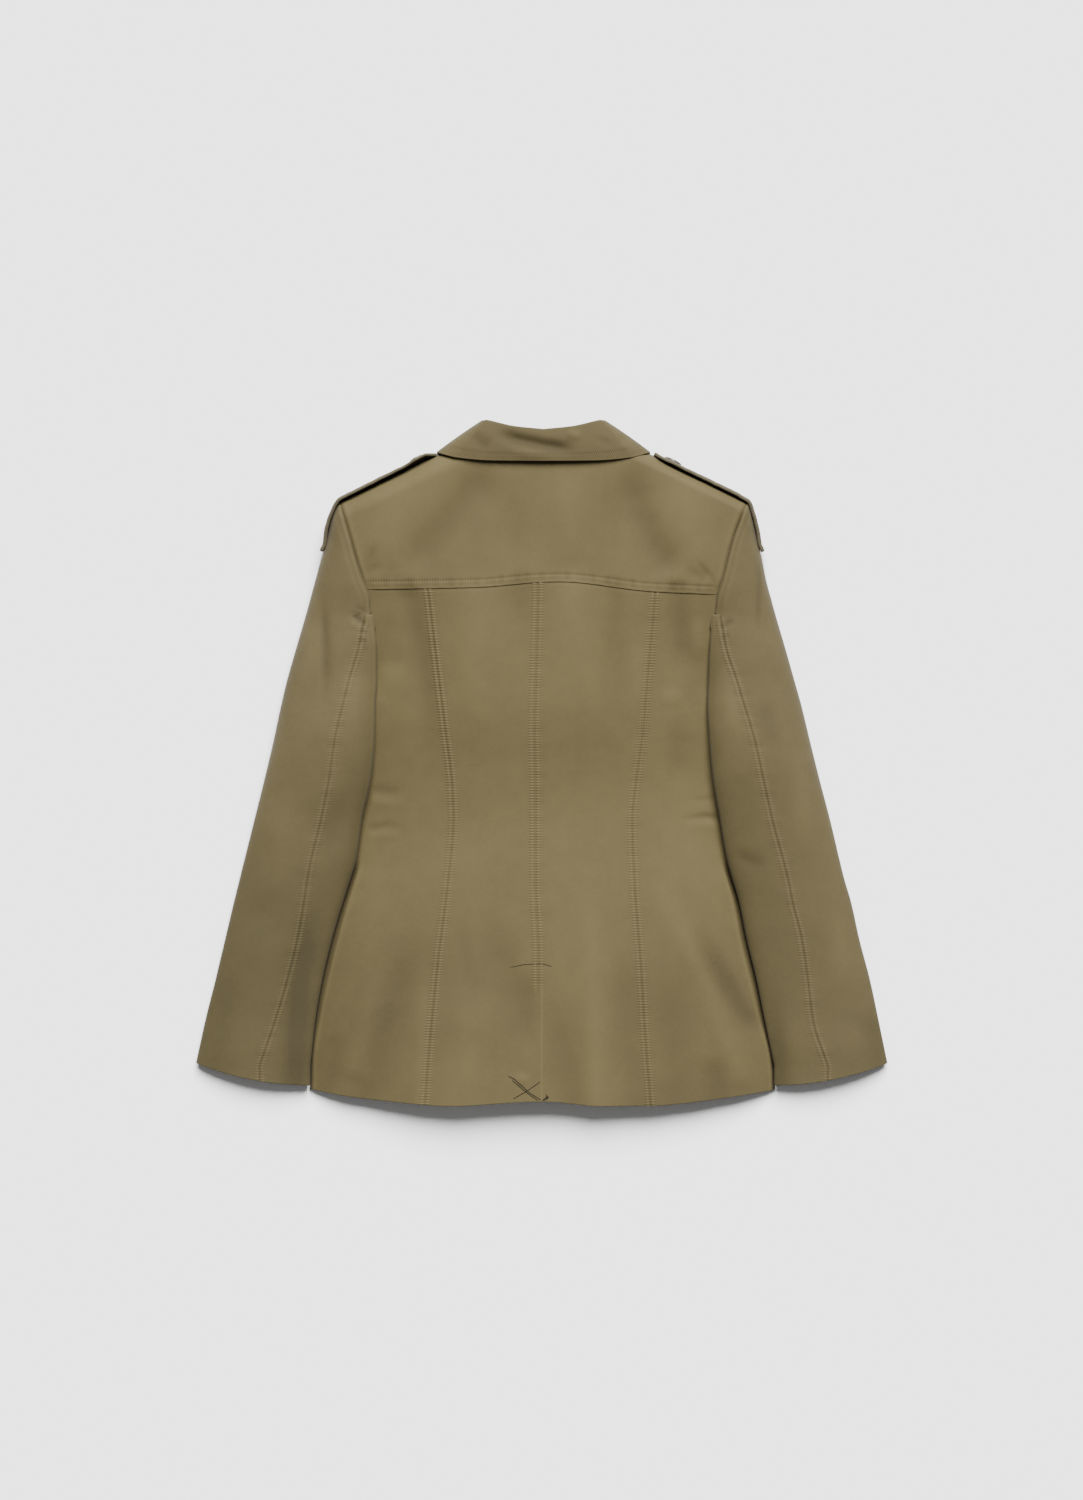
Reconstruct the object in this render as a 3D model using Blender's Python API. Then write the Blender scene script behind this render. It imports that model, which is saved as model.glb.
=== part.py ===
# Tailored cotton field jacket, laid face down and softly filled out, seen from its back.
# X runs to the viewer's right, Y towards the collar and Z up off the surface it rests on.
# Every size below is in millimetres; the objects are built in metres.
import math

import bpy
import numpy as np

MILLIMETRE = 0.001

# Cloth walls and the clearances between pieces
CLOTH = 1.8
COLLAR_CLOTH = 2.0
STRAP_CLOTH = 2.2
SEAM_GAP = 0.3
LAY_GAP = 1.2
SLEEVE_GAP = 0.7
ARMHOLE_GAP = 2.3
UPRIGHT = 0.8

# Body form
FULLNESS = 2.2
SHOULDER_ROLL = 24.0
SHOULDER_SEAM_Z = 20.0
SHOULDER_COSINE = 0.9
NECK_HALF = 68.0
NECK_CLEAR = 60.0
NECK_EASE = 14.0
FOLDS_END_SHARE = 0.8
FRONT_ROLL = 18.0
YOKE_LIFT = 0.9
YOKE_LIFT_REACH = 25.0
YOKE_LIFT_END_SHARE = 0.85
YOKE_COLUMNS = 27
YOKE_CROWDING = 1.35
YOKE_TOP_LEFT = 201.2
YOKE_TOP_RIGHT = 205.7
YOKE_LOW_LEFT = 170.6
YOKE_LOW_RIGHT = 174.0
PANEL_ROWS = 21

# Front closure, and the room that the collar takes under the fronts
OVERLAP_HALF = 14.0
OVERLAP_STEP_START = 34.0
OVERLAP_STEP_END = 6.0
FRONT_COLUMNS = (0, 0.065, 0.144, 0.21, 0.28, 0.42, 0.6, 0.76, 0.89, 0.97, 1)
CHANNEL_HALF = 20.0
CHANNEL_REACH = 40.0
CHANNEL_Z = 3.5
FRONT_LOWER_SHARE = 0.75
SHOULDER_START = 60.0
NECK_LIFT = 4.8
NECK_LIFT_X = 40.0
NECK_LIFT_Y = 268.0
NECK_LIFT_SQUASH = 0.9
NECK_LIFT_FULL = 50.0
NECK_LIFT_REACH = 82.0
FRONT_BUTTON_RADIUS = 10.0
FRONT_BUTTON_THICK = 3.0
FRONT_BUTTON_TOP = 195.0
FRONT_BUTTON_STEP = 95.0
FRONT_BUTTON_COUNT = 5

# Vent at the bottom of the centre back
VENT_TOP = -200.0
VENT_WIDTH = 31.0
VENT_INSET = 1.2
VENT_SHORTER = 1.0
VENT_ROWS = 7
VENT_COLUMNS = 4

# Shoulder straps
STRAP_HALF = 19.5
STRAP_CURL = 34.0
STRAP_Z = 20.5
STRAP_END_SHARE = 0.45
STRAP_END_REACH = 0.07
STRAP_ROWS = 18
STRAP_BUTTON_RADIUS = 7.0
STRAP_BUTTON_THICK = 3.0
STRAP_BUTTON_AT = 0.1
BUTTON_SIDES = 16
BUTTON_PROFILE = ((0.0, 0.0), (0.88, 0.0), (1.0, 0.4), (0.93, 1.0), (0.72, 1.0), (0.62, 0.8), (0.0, 0.8))

# Body, a value for each height: side edge or armhole on each side, height at the middle
# and at that edge, roundness of the sides, and the armholes of the fronts
BODY = {
    "y":           (-345, -297, -257, -217, -177, -137, -120, -100, -66, -36, 14, 48, 60,
                    66, 76, 92, 115, 140, 163, 183, 223, 250, 263),
    "left":        (-230.5, -230, -226, -219, -209.5, -197, -191.5, -187.5, -184.5, -185, -197, -211, -216,
                    -208, -197, -186, -176.5, -171.8, -170.5, -178, -189.5, -197.5, -201.5),
    "right":       (233.5, 230, 222, 214.5, 205, 195, 191.5, 187.5, 185.5, 187, 201, 215, 220,
                    212, 201, 190, 180, 175.5, 174, 180, 190, 200, 206),
    "crown":       (36, 35, 34.5, 34, 33, 31.5, 31, 30, 29, 30, 35, 39, 40,
                    40.5, 41, 42, 43, 44, 45, 45.5, 46, 46, 46),
    "rim":         (2.2, 2.2, 2.2, 2.2, 2.2, 2.2, 2.2, 2.2, 2.2, 2.2, 2.2, 2.5, 3.5,
                    6, 10, 16, 24, 30, 34, 37, 39, 39, 39),
    "round":       (1.5, 1.5, 1.5, 1.5, 1.5, 1.5, 1.5, 1.5, 1.5, 1.5, 1.45, 1.4, 1.35,
                    1.3, 1.25, 1.2, 1.1, 1.0, 1.0, 1.0, 1.0, 1.0, 1.0),
    "front_left":  (-230.5, -230, -226, -219, -209.5, -197, -191.5, -187.5, -184.5, -185, -197, -211, -216,
                    -203, -190, -178, -168, -164, -163, -165, -178, -192, -201.5),
    "front_right": (233.5, 230, 222, 214.5, 205, 195, 191.5, 187.5, 185.5, 187, 201, 215, 220,
                    207, 194, 182, 172, 168, 167, 169, 182, 196, 206),
}

# Shoulder lines and necklines, from the left shoulder point to the right one
BACK_TOP = {
    "x": (-201.5, -106.5, -70, -67, -54, -30, 0, 30, 54, 67, 70, 110.5, 206),
    "y": (263, 307.8, 325, 325.5, 318, 313, 311.5, 313, 318, 328.5, 328, 308.4, 262),
}
FRONT_TOP = {
    "x": (-201.5, -106.5, -70, -67, -58, -44, -22, 0, 22, 44, 58, 67, 70, 110.5, 206),
    "y": (263, 307.8, 325, 324, 300, 274, 255, 250, 255, 274, 300, 327, 328, 308.4, 262),
}
SHOULDER_SLOPE_LEFT = 0.4717
SHOULDER_SLOPE_RIGHT = 0.4857
HEM = {
    "x": (-230, -192, -160, -92, 0, 60, 110, 165, 234),
    "y": (-326.5, -333, -336.5, -341.5, -337, -341.5, -341.5, -336.5, -327),
}
YOKE_SEAM = {
    "x": (-170, -62, 0, 18, 108, 175),
    "y": (173.5, 175.5, 180.5, 181, 171.5, 168.5),
}

# Long seams of the back, an x for each height
BACK_SEAMS = {
    "y":      (-345, -277, -197, -117, -57, -27, 33, 113, 173),
    "center": (-0.5, -0.5, -0.5, -3.5, -3.5, -3.5, -4.5, -2.5, -1),
    "left":   (-117, -111.5, -103.5, -93.5, -88.5, -89.5, -96.5, -106.5, -113.5),
    "right":  (109, 103.5, 98.5, 92.5, 90.5, 93.5, 101.5, 108.5, 113.5),
}

# Soft folds of the back: a line from one point to another, its half width and its depth
BACK_FOLDS = (
    {"from": (-72, 322), "to": (-122, 195), "half": 19, "depth": -3.2},
    {"from": (62, 282), "to": (132, 190), "half": 19, "depth": -2.8},
    {"from": (24, 285), "to": (26, 190), "half": 15, "depth": 1.6},
    {"from": (-64, 160), "to": (-74, 20), "half": 17, "depth": 1.8},
    {"from": (-124, 150), "to": (-126, 40), "half": 13, "depth": -2.0},
    {"from": (-24, 165), "to": (-20, 80), "half": 12, "depth": -1.5},
    {"from": (32, 160), "to": (34, 20), "half": 12, "depth": 1.5},
    {"from": (-60, -220), "to": (-86, -345), "half": 24, "depth": 3.0},
    {"from": (-150, -215), "to": (-158, -345), "half": 20, "depth": -3.0},
    {"from": (12, -200), "to": (14, -345), "half": 20, "depth": -2.2},
    {"from": (54, -190), "to": (56, -345), "half": 16, "depth": 2.2},
    {"from": (126, -210), "to": (138, -345), "half": 20, "depth": -2.6},
)
HEM_FOLD_Y = -340.0

# Sleeves, a value for each height: outer edge, inner fold, back seam and the seam on the
# underside for each side, height of the outer edge, rise of the top, radius of the inner
# fold, and the room that the sleeve leaves round the body's side
SLEEVE = {
    "y":           (263, 253, 243, 223, 203, 183, 163, 152, 140, 113, 83, 60, 23, -17, -57,
                    -97, -117, -137, -177, -217, -257, -303),
    "outer_left":  (-202, -207, -210.5, -215, -221, -226.5, -232, -235, -238.5, -246.5, -255, -260.5, -268.5,
                    -278, -288, -298, -303, -308, -317.5, -327, -337, -347),
    "outer_right": (206.5, 211.5, 214, 218.5, 222, 225, 230.5, 233.5, 237, 245, 253.5, 260, 269,
                    279, 289.5, 299, 304, 310, 319, 329.5, 338, 347.5),
    "fold_left":   (-201.5, -198.5, -195.5, -189.5, -184, -178, -171, -171, -167.5, -164.5, -164.5, -166,
                    -167, -171, -180, -189, -196, -200.5, -212, -221.5, -228.5, -233.5),
    "fold_right":  (206, 201, 197.5, 190, 184.5, 180, 174.5, 174, 170, 167.5, 166.5, 165.5, 167.5,
                    171.5, 178.5, 188.5, 195.5, 200.5, 207.5, 217, 225.5, 236),
    "seam_left":   (-201.5, -198.5, -195.5, -189.5, -184, -178, -172, -174.5, -177, -182.5, -191.5, -197.5,
                    -206, -212, -220, -230, -234, -237, -244, -254, -266, -282),
    "seam_right":  (206, 201, 197.5, 190, 184.5, 180, 175, 177, 179, 184, 194, 201, 212,
                    221, 230, 241, 246, 250, 260, 266, 271, 286),
    "under_left":  (-201.5, -198.5, -195.5, -189.5, -184, -178, -172, -173, -172.5, -177.5, -191, -216, -216,
                    -216, -220, -225, -228, -232, -240, -248, -255, -262),
    "under_right": (206, 201, 197.5, 190, 184.5, 180, 174, 176, 176, 181, 195, 220, 220,
                    220, 222, 228, 231, 235, 243, 250, 258, 266),
    "edge_z":      (20, 20, 19.5, 18.5, 17.5, 16.5, 15.5, 15, 14, 13, 12.5, 12, 11,
                    10, 9.5, 9, 8.5, 8, 7.5, 7, 6.5, 6),
    "rise":        (0, 0.5, 1, 2, 3, 4.5, 7, 8, 10, 13, 15, 16, 17,
                    17.5, 17, 16, 15.5, 15, 13, 11, 9, 7),
    "radius":      (2.5, 2.5, 2.5, 2.5, 2.5, 2.5, 2.5, 2.5, 3, 3.5, 4, 4.5, 5,
                    5, 5, 5, 5, 5, 5, 5, 5, 5),
    "drape":       (0, 0, 0, 0, 0, 0, 0, 4, 6, 6, 4, 2, 12,
                    14, 10, 5, 3, 1, 0.5, 0.5, 0.5, 0.5),
}
CAP_TOP = 259.5
UNDER_TOP = 148.5
FOLD_START = 152.0
FOLD_EASE = 14.0
UNDERARM_Y = 60.0
UNDERARM_EASE = 22.0
LOWER_SLEEVE_START = 0.25
SLEEVE_CROWDING = 0.9
CUFF_OUTER_Y = -300.0
CUFF_INNER_Y = -322.0
CUFF_BOW = 5.0
SLEEVE_ROWS = 24
UNDER_SLEEVE_ROWS = 20
SLEEVE_FOLDS = (
    {"from": (-212, 150), "to": (-216, 60), "half": 14, "depth": -2.0},
    {"from": (-195, 20), "to": (-222, -80), "half": 13, "depth": -2.2},
    {"from": (-252, -20), "to": (-270, -150), "half": 15, "depth": 1.6},
    {"from": (-236, -170), "to": (-262, -300), "half": 13, "depth": -2.0},
)

# Collar from the centre back round to the centre front, on the right of its middle:
# the neckline, the fold line and the free edge
COLLAR = {
    "turn":   (0.0, 0.2, 0.38, 0.47, 0.53, 0.57, 0.64, 0.8, 1.0),
    "neck_x": (0, 28, 51, 62, 63, 60, 54, 40, 4),
    "neck_y": (313, 314, 319.5, 328, 328, 320, 304, 279, 255),
    "neck_z": (44.5, 44, 39, 28, 14, 8, 5.4, 5.4, 5.4),
    "fold_x": (0, 30, 57, 62, 61, 57, 49, 33, 4),
    "fold_y": (332.5, 335.5, 341.5, 342, 339, 332, 316, 289, 264),
    "fold_z": (49.5, 50, 47, 34, 12, 3, 1, 1, 1),
    "edge_x": (0, 48, 85, 106, 107, 107, 101, 78, 10),
    "edge_y": (301, 301, 303, 313, 313.5, 305, 280, 236, 226),
    "edge_z": (48.8, 48.6, 47.5, 34, 10, 0.8, 0, 0, 0),
}
COLLAR_MIDDLE = 2.0
COLLAR_BULGE = 1.5
COLLAR_CORE_Z = 22.0
COLLAR_CORE_SHARE = 0.75
COLLAR_COLUMNS = 41
STAND_INSET = 2.7

# Shoulder straps, from the end by the collar to the end on the sleeve
STRAP_LEFT = {
    "along": (0.0, 0.1, 0.2, 0.4, 0.6, 0.72, 0.82, 0.91, 1.0),
    "x": (-111, -126, -139, -168.5, -193, -207.5, -215, -218.7, -220.7),
    "y": (313.5, 308, 300, 285, 273.5, 265.5, 251.5, 234, 214),
}
STRAP_RIGHT = {
    "along": (0.0, 0.1, 0.2, 0.4, 0.6, 0.72, 0.82, 0.91, 1.0),
    "x": (114.5, 130, 142, 168, 193, 210, 217.5, 221, 222.9),
    "y": (314, 307, 301, 287, 274, 265, 251, 234, 214),
}

CLOTH_COLOUR = (0.246, 0.193, 0.101, 1.0)
STRAP_COLOUR = (0.19, 0.155, 0.095, 1.0)
BUTTON_COLOUR = (0.155, 0.125, 0.07, 1.0)


def clear_scene():
    for item in list(bpy.data.objects):
        bpy.data.objects.remove(item, do_unlink=True)


def make_material(name, colour, roughness):
    material = bpy.data.materials.new(name)
    material.use_nodes = True
    shader = material.node_tree.nodes["Principled BSDF"]
    shader.inputs["Base Color"].default_value = colour
    shader.inputs["Roughness"].default_value = roughness
    shader.inputs["Metallic"].default_value = 0.0
    return material


# A smooth curve through the values of a table that never swings past them
def curve(table, key, name, at):
    knots = np.asarray(table[key], float)
    values = np.asarray(table[name], float)
    if knots[0] > knots[-1]:
        knots = knots[::-1]
        values = values[::-1]
    step = np.diff(knots)
    slope = np.diff(values) / step
    tangent = np.zeros_like(values)
    tangent[0] = slope[0]
    tangent[-1] = slope[-1]
    for i in range(1, len(knots) - 1):
        if slope[i - 1] * slope[i] > 0:
            before = 2 * step[i] + step[i - 1]
            after = step[i] + 2 * step[i - 1]
            tangent[i] = (before + after) / (before / slope[i - 1] + after / slope[i])
    at = np.clip(np.asarray(at, float), knots[0], knots[-1])
    i = np.clip(np.searchsorted(knots, at) - 1, 0, len(step) - 1)
    t = (at - knots[i]) / step[i]
    return (
        (1 + 2 * t) * (1 - t) ** 2 * values[i]
        + t * (1 - t) ** 2 * step[i] * tangent[i]
        + t * t * (3 - 2 * t) * values[i + 1]
        + t * t * (t - 1) * step[i] * tangent[i + 1]
    )


def smooth(value, low, high):
    t = np.clip((np.asarray(value, float) - low) / (high - low), 0, 1)
    return t * t * (3 - 2 * t)


# Rises from 0 to 1 as a quarter circle and stays at 1
def bullnose(share):
    share = np.clip(np.asarray(share, float), 0, 1)
    return np.sqrt(1 - (1 - share) ** 2)


# Evenly spaced shares from 0 to 1, drawn together towards the end or the start
def crowd_end(count):
    return np.sin(np.linspace(0, 1, count) * math.pi / 2)


def crowd_start(count):
    return 1 - np.cos(np.linspace(0, 1, count) * math.pi / 2)


def fold_sum(folds, x, y):
    total = np.zeros(np.broadcast(x, y).shape)
    for fold in folds:
        ax, ay = fold["from"]
        bx, by = fold["to"]
        length = (bx - ax) ** 2 + (by - ay) ** 2
        along = np.clip(((x - ax) * (bx - ax) + (y - ay) * (by - ay)) / length, 0, 1)
        away = np.hypot(x - ax - along * (bx - ax), y - ay - along * (by - ay))
        taper = smooth(along, 0, 0.4)
        if by > HEM_FOLD_Y:
            taper = taper * (1 - smooth(along, 0.6, 1))
        total = total + fold["depth"] * taper * np.exp(-(away / fold["half"]) ** 2)
    return total


# Share of the way from the middle of the body to its side, and the plain arch at that share
def body_arch(x, y, room=0.0):
    left = curve(BODY, "y", "left", y)
    right = curve(BODY, "y", "right", y)
    crown = curve(BODY, "y", "crown", y)
    rim = curve(BODY, "y", "rim", y)
    share = np.abs(x - (left + right) / 2) / ((right - left) / 2 + room)
    arch = (1 - np.clip(share, 0, 1) ** FULLNESS) ** (1 / curve(BODY, "y", "round", y))
    return share, rim + (crown - rim) * arch


# How far a point of the plan lies inside the shoulder lines
def inside_shoulder(x, y):
    left = BACK_TOP["y"][0] + (x - BACK_TOP["x"][0]) * SHOULDER_SLOPE_LEFT
    right = BACK_TOP["y"][-1] + (BACK_TOP["x"][-1] - x) * SHOULDER_SLOPE_RIGHT
    line = np.minimum(left, right) + NECK_CLEAR * smooth(NECK_HALF - np.abs(x), 0, NECK_EASE)
    return (line - y) * SHOULDER_COSINE


# Upper face of the back
def back_height(x, y):
    share, z = body_arch(x, y)
    z = z + fold_sum(BACK_FOLDS, x, y) * (1 - smooth(share, FOLDS_END_SHARE, 1))
    roll = bullnose(inside_shoulder(x, y) / SHOULDER_ROLL)
    return SHOULDER_SEAM_Z + (z - SHOULDER_SEAM_Z) * roll


# Lower face of a front
def front_height(x, y):
    channel = CHANNEL_Z * (1 - smooth(np.abs(x), CHANNEL_HALF, CHANNEL_REACH))
    beside = np.maximum(np.abs(x) - NECK_LIFT_X, 0) * NECK_LIFT_SQUASH
    below = np.maximum(NECK_LIFT_Y - y, 0)
    from_neck = np.hypot(beside, below)
    lifted = NECK_LIFT * (1 - smooth(from_neck, NECK_LIFT_FULL, NECK_LIFT_REACH))
    z = np.maximum(channel, lifted)
    roll = bullnose(inside_shoulder(x, y) / FRONT_ROLL)
    return SHOULDER_SEAM_Z + (z - SHOULDER_SEAM_Z) * roll


def grid_normals(points):
    across = np.gradient(points, axis=0)
    along = np.gradient(points, axis=1)
    normal = np.cross(across, along)
    return normal / np.maximum(np.linalg.norm(normal, axis=2, keepdims=True), 1e-9)


def add_mesh(name, points, faces, material):
    mesh = bpy.data.meshes.new(name)
    mesh.from_pydata([tuple(p) for p in points], [], faces)
    mesh.materials.append(material)
    mesh.shade_smooth()
    mesh.set_sharp_from_angle(angle=math.radians(40))
    item = bpy.data.objects.new(name, mesh)
    bpy.context.scene.collection.objects.link(item)
    return item


# A closed cloth wall: one face through the points, the other a wall's thickness behind it.
# A level row or column is cut flat, at the height of its outer points, where it stands upright
def add_wall(name, outer, wall, material, level_row=None, level_column=None):
    rows, columns = outer.shape[:2]
    normals = grid_normals(outer)
    inner = outer - wall * normals
    level = np.zeros((rows, columns), bool)
    if level_row is not None:
        level[level_row, :] = True
    if level_column is not None:
        level[:, level_column] = True
    level = level & (np.abs(normals[..., 2]) < UPRIGHT)
    inner[..., 2] = np.where(level, outer[..., 2], inner[..., 2])
    points = np.concatenate([outer.reshape(-1, 3), inner.reshape(-1, 3)]) * MILLIMETRE
    shift = rows * columns
    faces = []
    for r in range(rows - 1):
        for c in range(columns - 1):
            a = r * columns + c
            b = a + columns
            faces.append((a, b, b + 1, a + 1))
            faces.append((a + shift, a + 1 + shift, b + 1 + shift, b + shift))
    loop = list(range(columns))
    loop += [r * columns + columns - 1 for r in range(1, rows)]
    loop += [(rows - 1) * columns + c for c in range(columns - 2, -1, -1)]
    loop += [r * columns for r in range(rows - 2, 0, -1)]
    for i, a in enumerate(loop):
        b = loop[(i + 1) % len(loop)]
        faces.append((a, b, b + shift, a + shift))
    return add_mesh(name, points, faces, material)


def center_seam(y):
    return curve(BACK_SEAMS, "y", "center", y)


def princess_left(y):
    return curve(BACK_SEAMS, "y", "left", y)


def princess_right(y):
    return curve(BACK_SEAMS, "y", "right", y)


def side_left(y):
    return curve(BODY, "y", "left", y)


def side_right(y):
    return curve(BODY, "y", "right", y)


# The x of a seam at each share of the way from the hem up to the yoke
def seam_points(seam, rise):
    y = HEM_FOLD_Y + rise * (YOKE_SEAM["y"][0] - HEM_FOLD_Y)
    for _ in range(4):
        x = seam(y)
        y = curve(HEM, "x", "y", x) * (1 - rise) + curve(YOKE_SEAM, "x", "y", x) * rise
    return x


def add_back_panel(name, left_seam, right_seam, share, material, level_column=None):
    rise = np.linspace(0, 1, PANEL_ROWS)
    half_gap = SEAM_GAP / 2
    left = seam_points(left_seam, rise) + (0 if left_seam is side_left else half_gap)
    right = seam_points(right_seam, rise) - (0 if right_seam is side_right else half_gap)
    x = left[:, None] + (right - left)[:, None] * share[None, :]
    high = curve(YOKE_SEAM, "x", "y", x) - SEAM_GAP
    y = curve(HEM, "x", "y", x) * (1 - rise[:, None]) + high * rise[:, None]
    outer = np.stack([x, y, back_height(x, y)], axis=2)
    add_wall(name, outer[::-1], CLOTH, material, level_column=level_column)


def add_back(material):
    even = np.linspace(0, 1, 6)
    add_back_panel("back_center_left", princess_left, center_seam, even, material)
    add_back_panel("back_center_right", center_seam, princess_right, even, material)
    to_left = crowd_start(8)
    to_right = crowd_end(8)
    add_back_panel("back_side_left", side_left, princess_left, to_left, material, level_column=0)
    add_back_panel("back_side_right", princess_right, side_right, to_right, material, level_column=-1)


# The vent's underlap, cut in one with the right back and lying under the left one
def add_vent(material):
    rise = np.linspace(0, 1, VENT_ROWS)[:, None]
    across = np.linspace(-VENT_WIDTH, -VENT_INSET, VENT_COLUMNS)
    x = np.broadcast_to(across[None, :], (VENT_ROWS, VENT_COLUMNS))
    y = (curve(HEM, "x", "y", x) + VENT_SHORTER) * (1 - rise) + VENT_TOP * rise
    z = back_height(x, y) - CLOTH - 2 * SEAM_GAP
    add_wall("vent_underlap", np.stack([x, y, z], axis=2)[::-1], CLOTH, material)


def add_yoke(material):
    across = np.sin(np.linspace(-1, 1, YOKE_COLUMNS) * YOKE_CROWDING) / math.sin(YOKE_CROWDING)
    rise = crowd_end(10)
    top_x = np.where(across < 0, YOKE_TOP_LEFT, YOKE_TOP_RIGHT) * across
    low_x = np.where(across < 0, YOKE_LOW_LEFT, YOKE_LOW_RIGHT) * across
    top_y = curve(BACK_TOP, "x", "y", top_x)
    low_y = curve(YOKE_SEAM, "x", "y", low_x)
    y = low_y[None, :] + (top_y - low_y)[None, :] * rise[:, None]
    edge_left = -side_left(y[:, :1]) - SEAM_GAP / 2
    edge_right = side_right(y[:, -1:]) - SEAM_GAP / 2
    x = np.where(across[None, :] < 0, edge_left, edge_right) * across[None, :]
    lift = YOKE_LIFT * (1 - smooth(y - low_y[None, :], 0, YOKE_LIFT_REACH))
    z = back_height(x, y) + lift * (1 - smooth(np.abs(across), YOKE_LIFT_END_SHARE, 1))[None, :]
    z[-1] = np.maximum(z[-1], SHOULDER_SEAM_Z + SEAM_GAP)
    add_wall("yoke", np.stack([x, y, z], axis=2)[::-1], CLOTH, material, level_row=0)


# A front lies on the floor; the left one lies over the right one at the closure
def add_front(name, side, material):
    edge = "front_left" if side < 0 else "front_right"
    share = np.array(FRONT_COLUMNS)
    lower = np.linspace(0, FRONT_LOWER_SHARE, 12)[:-1]
    upper = FRONT_LOWER_SHARE + (1 - FRONT_LOWER_SHARE) * crowd_end(9)
    rise = np.concatenate([lower, upper])[:, None]
    corner = (BODY[edge][-1] - side * SEAM_GAP, BODY["y"][-1] - SEAM_GAP)
    side_low = curve(HEM, "x", "y", BODY[edge][0])
    edge_y = side_low + (corner[1] - side_low) * rise
    edge_x = curve(BODY, "y", edge, edge_y) - side * SEAM_GAP / 2
    free_x = -side * OVERLAP_HALF
    x = free_x + (edge_x - free_x) * share[None, :]
    top_x = free_x + (corner[0] - free_x) * share
    high = curve(FRONT_TOP, "x", "y", top_x)[None, :]
    y = curve(HEM, "x", "y", x) * (1 - rise) + high * rise
    z = front_height(x, y)
    under_seam = np.minimum(z[-1], SHOULDER_SEAM_Z - SEAM_GAP)
    z[-1] = np.where(np.abs(top_x) > SHOULDER_START, under_seam, z[-1])
    if side < 0:
        start = -OVERLAP_HALF - OVERLAP_STEP_START
        z = z + (CLOTH + SEAM_GAP) * smooth(x, start, -OVERLAP_HALF - OVERLAP_STEP_END)
    outer = np.stack([x, y, z], axis=2)
    if side < 0:
        add_wall(name, outer[::-1], CLOTH, material, level_row=0)
    else:
        add_wall(name, outer, CLOTH, material, level_row=-1)


# The height that a sleeve rests at: the floor, or just over the body below it
def rest_height(x, y):
    share, arch = body_arch(x, y, room=curve(SLEEVE, "y", "drape", y))
    return np.where(share < 1, arch + LAY_GAP, 0)


def sleeve_y(along, share):
    low = smooth(along, LOWER_SLEEVE_START, 1)
    straight = CAP_TOP + (CUFF_OUTER_Y - CAP_TOP) * along
    return straight + low * ((CUFF_INNER_Y - CUFF_OUTER_Y) * share - CUFF_BOW * 4 * share * (1 - share))


# Share of the way from the outer edge to the inner fold at which a seam of the sleeve lies
def seam_share(side, seam, along):
    share = 0.5
    for _ in range(5):
        y = sleeve_y(along, share)
        outer = curve(SLEEVE, "y", "outer_" + side, y)
        fold = curve(SLEEVE, "y", "fold_" + side, y)
        share = float((curve(SLEEVE, "y", seam + "_" + side, y) - outer) / (fold - outer))
    return share


def sleeve_top(side, x, y, share):
    edge_z = curve(SLEEVE, "y", "edge_z", y)
    fold = curve(SLEEVE, "y", "fold_" + side, y)
    folded = smooth(FOLD_START - y, 0, FOLD_EASE)
    lying = rest_height(fold, y) + curve(SLEEVE, "y", "radius", y)
    fold_z = back_height(fold, y) * (1 - folded) + lying * folded
    arch = np.sqrt(np.clip(4 * share * (1 - share), 0, 1))
    folds = fold_sum(SLEEVE_FOLDS, -np.abs(x), y) * arch
    rise = curve(SLEEVE, "y", "rise", y) * arch
    return edge_z + (fold_z - edge_z) * np.sqrt(1 - (1 - share) ** FULLNESS) + rise + folds


def sleeve_outer_underside(side, x, y):
    edge_z = curve(SLEEVE, "y", "edge_z", y)
    outer = curve(SLEEVE, "y", "outer_" + side, y)
    armhole = curve(BODY, "y", "front_" + side, y)
    floor = front_height(armhole, y) * (1 - smooth(np.abs(x - armhole), 0, UNDERARM_EASE))
    lying = np.where(y > UNDERARM_Y, floor, rest_height(x, y))
    return lying + (edge_z - lying) * (1 - bullnose(np.abs(x - outer) / edge_z))


def sleeve_inner_underside(side, x, y):
    radius = curve(SLEEVE, "y", "radius", y)
    fold = curve(SLEEVE, "y", "fold_" + side, y)
    return rest_height(x, y) + radius * (1 - bullnose(np.abs(x - fold) / radius))


def sleeve_points(side, along, share, underside):
    y = sleeve_y(along, share)
    outer = curve(SLEEVE, "y", "outer_" + side, y)
    x = outer + (curve(SLEEVE, "y", "fold_" + side, y) - outer) * share
    z = underside(side, x, y) if underside else sleeve_top(side, x, y, share)
    return np.stack([x, y, z], axis=1)


# The outer half of a sleeve, from the back seam over the outer edge to its underside
def add_upper_sleeve(side, material):
    rows = []
    for along in np.linspace(0, 1, SLEEVE_ROWS) ** SLEEVE_CROWDING:
        y = sleeve_y(along, 1.0)
        width = abs(curve(SLEEVE, "y", "fold_" + side, y) - curve(SLEEVE, "y", "outer_" + side, y))
        start = 1.0 if y > UNDER_TOP + 1 else seam_share(side, "seam", along)
        end = seam_share(side, "under", along)
        if y > UNDERARM_Y:
            armhole = curve(BODY, "y", "front_" + side, y)
            end = abs(armhole - curve(SLEEVE, "y", "outer_" + side, y)) / width
        start = start - SLEEVE_GAP / width
        end = end - (ARMHOLE_GAP if y > UNDERARM_Y else SLEEVE_GAP) / width
        top = sleeve_points(side, along, start * (1 - crowd_end(8)), None)
        low = sleeve_points(side, along, end * crowd_start(7)[1:], sleeve_outer_underside)
        rows.append(np.concatenate([top, low]))
    outer = np.stack(rows)
    add_wall("sleeve_upper_" + side, outer[::-1] if side == "left" else outer, CLOTH, material)


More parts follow.
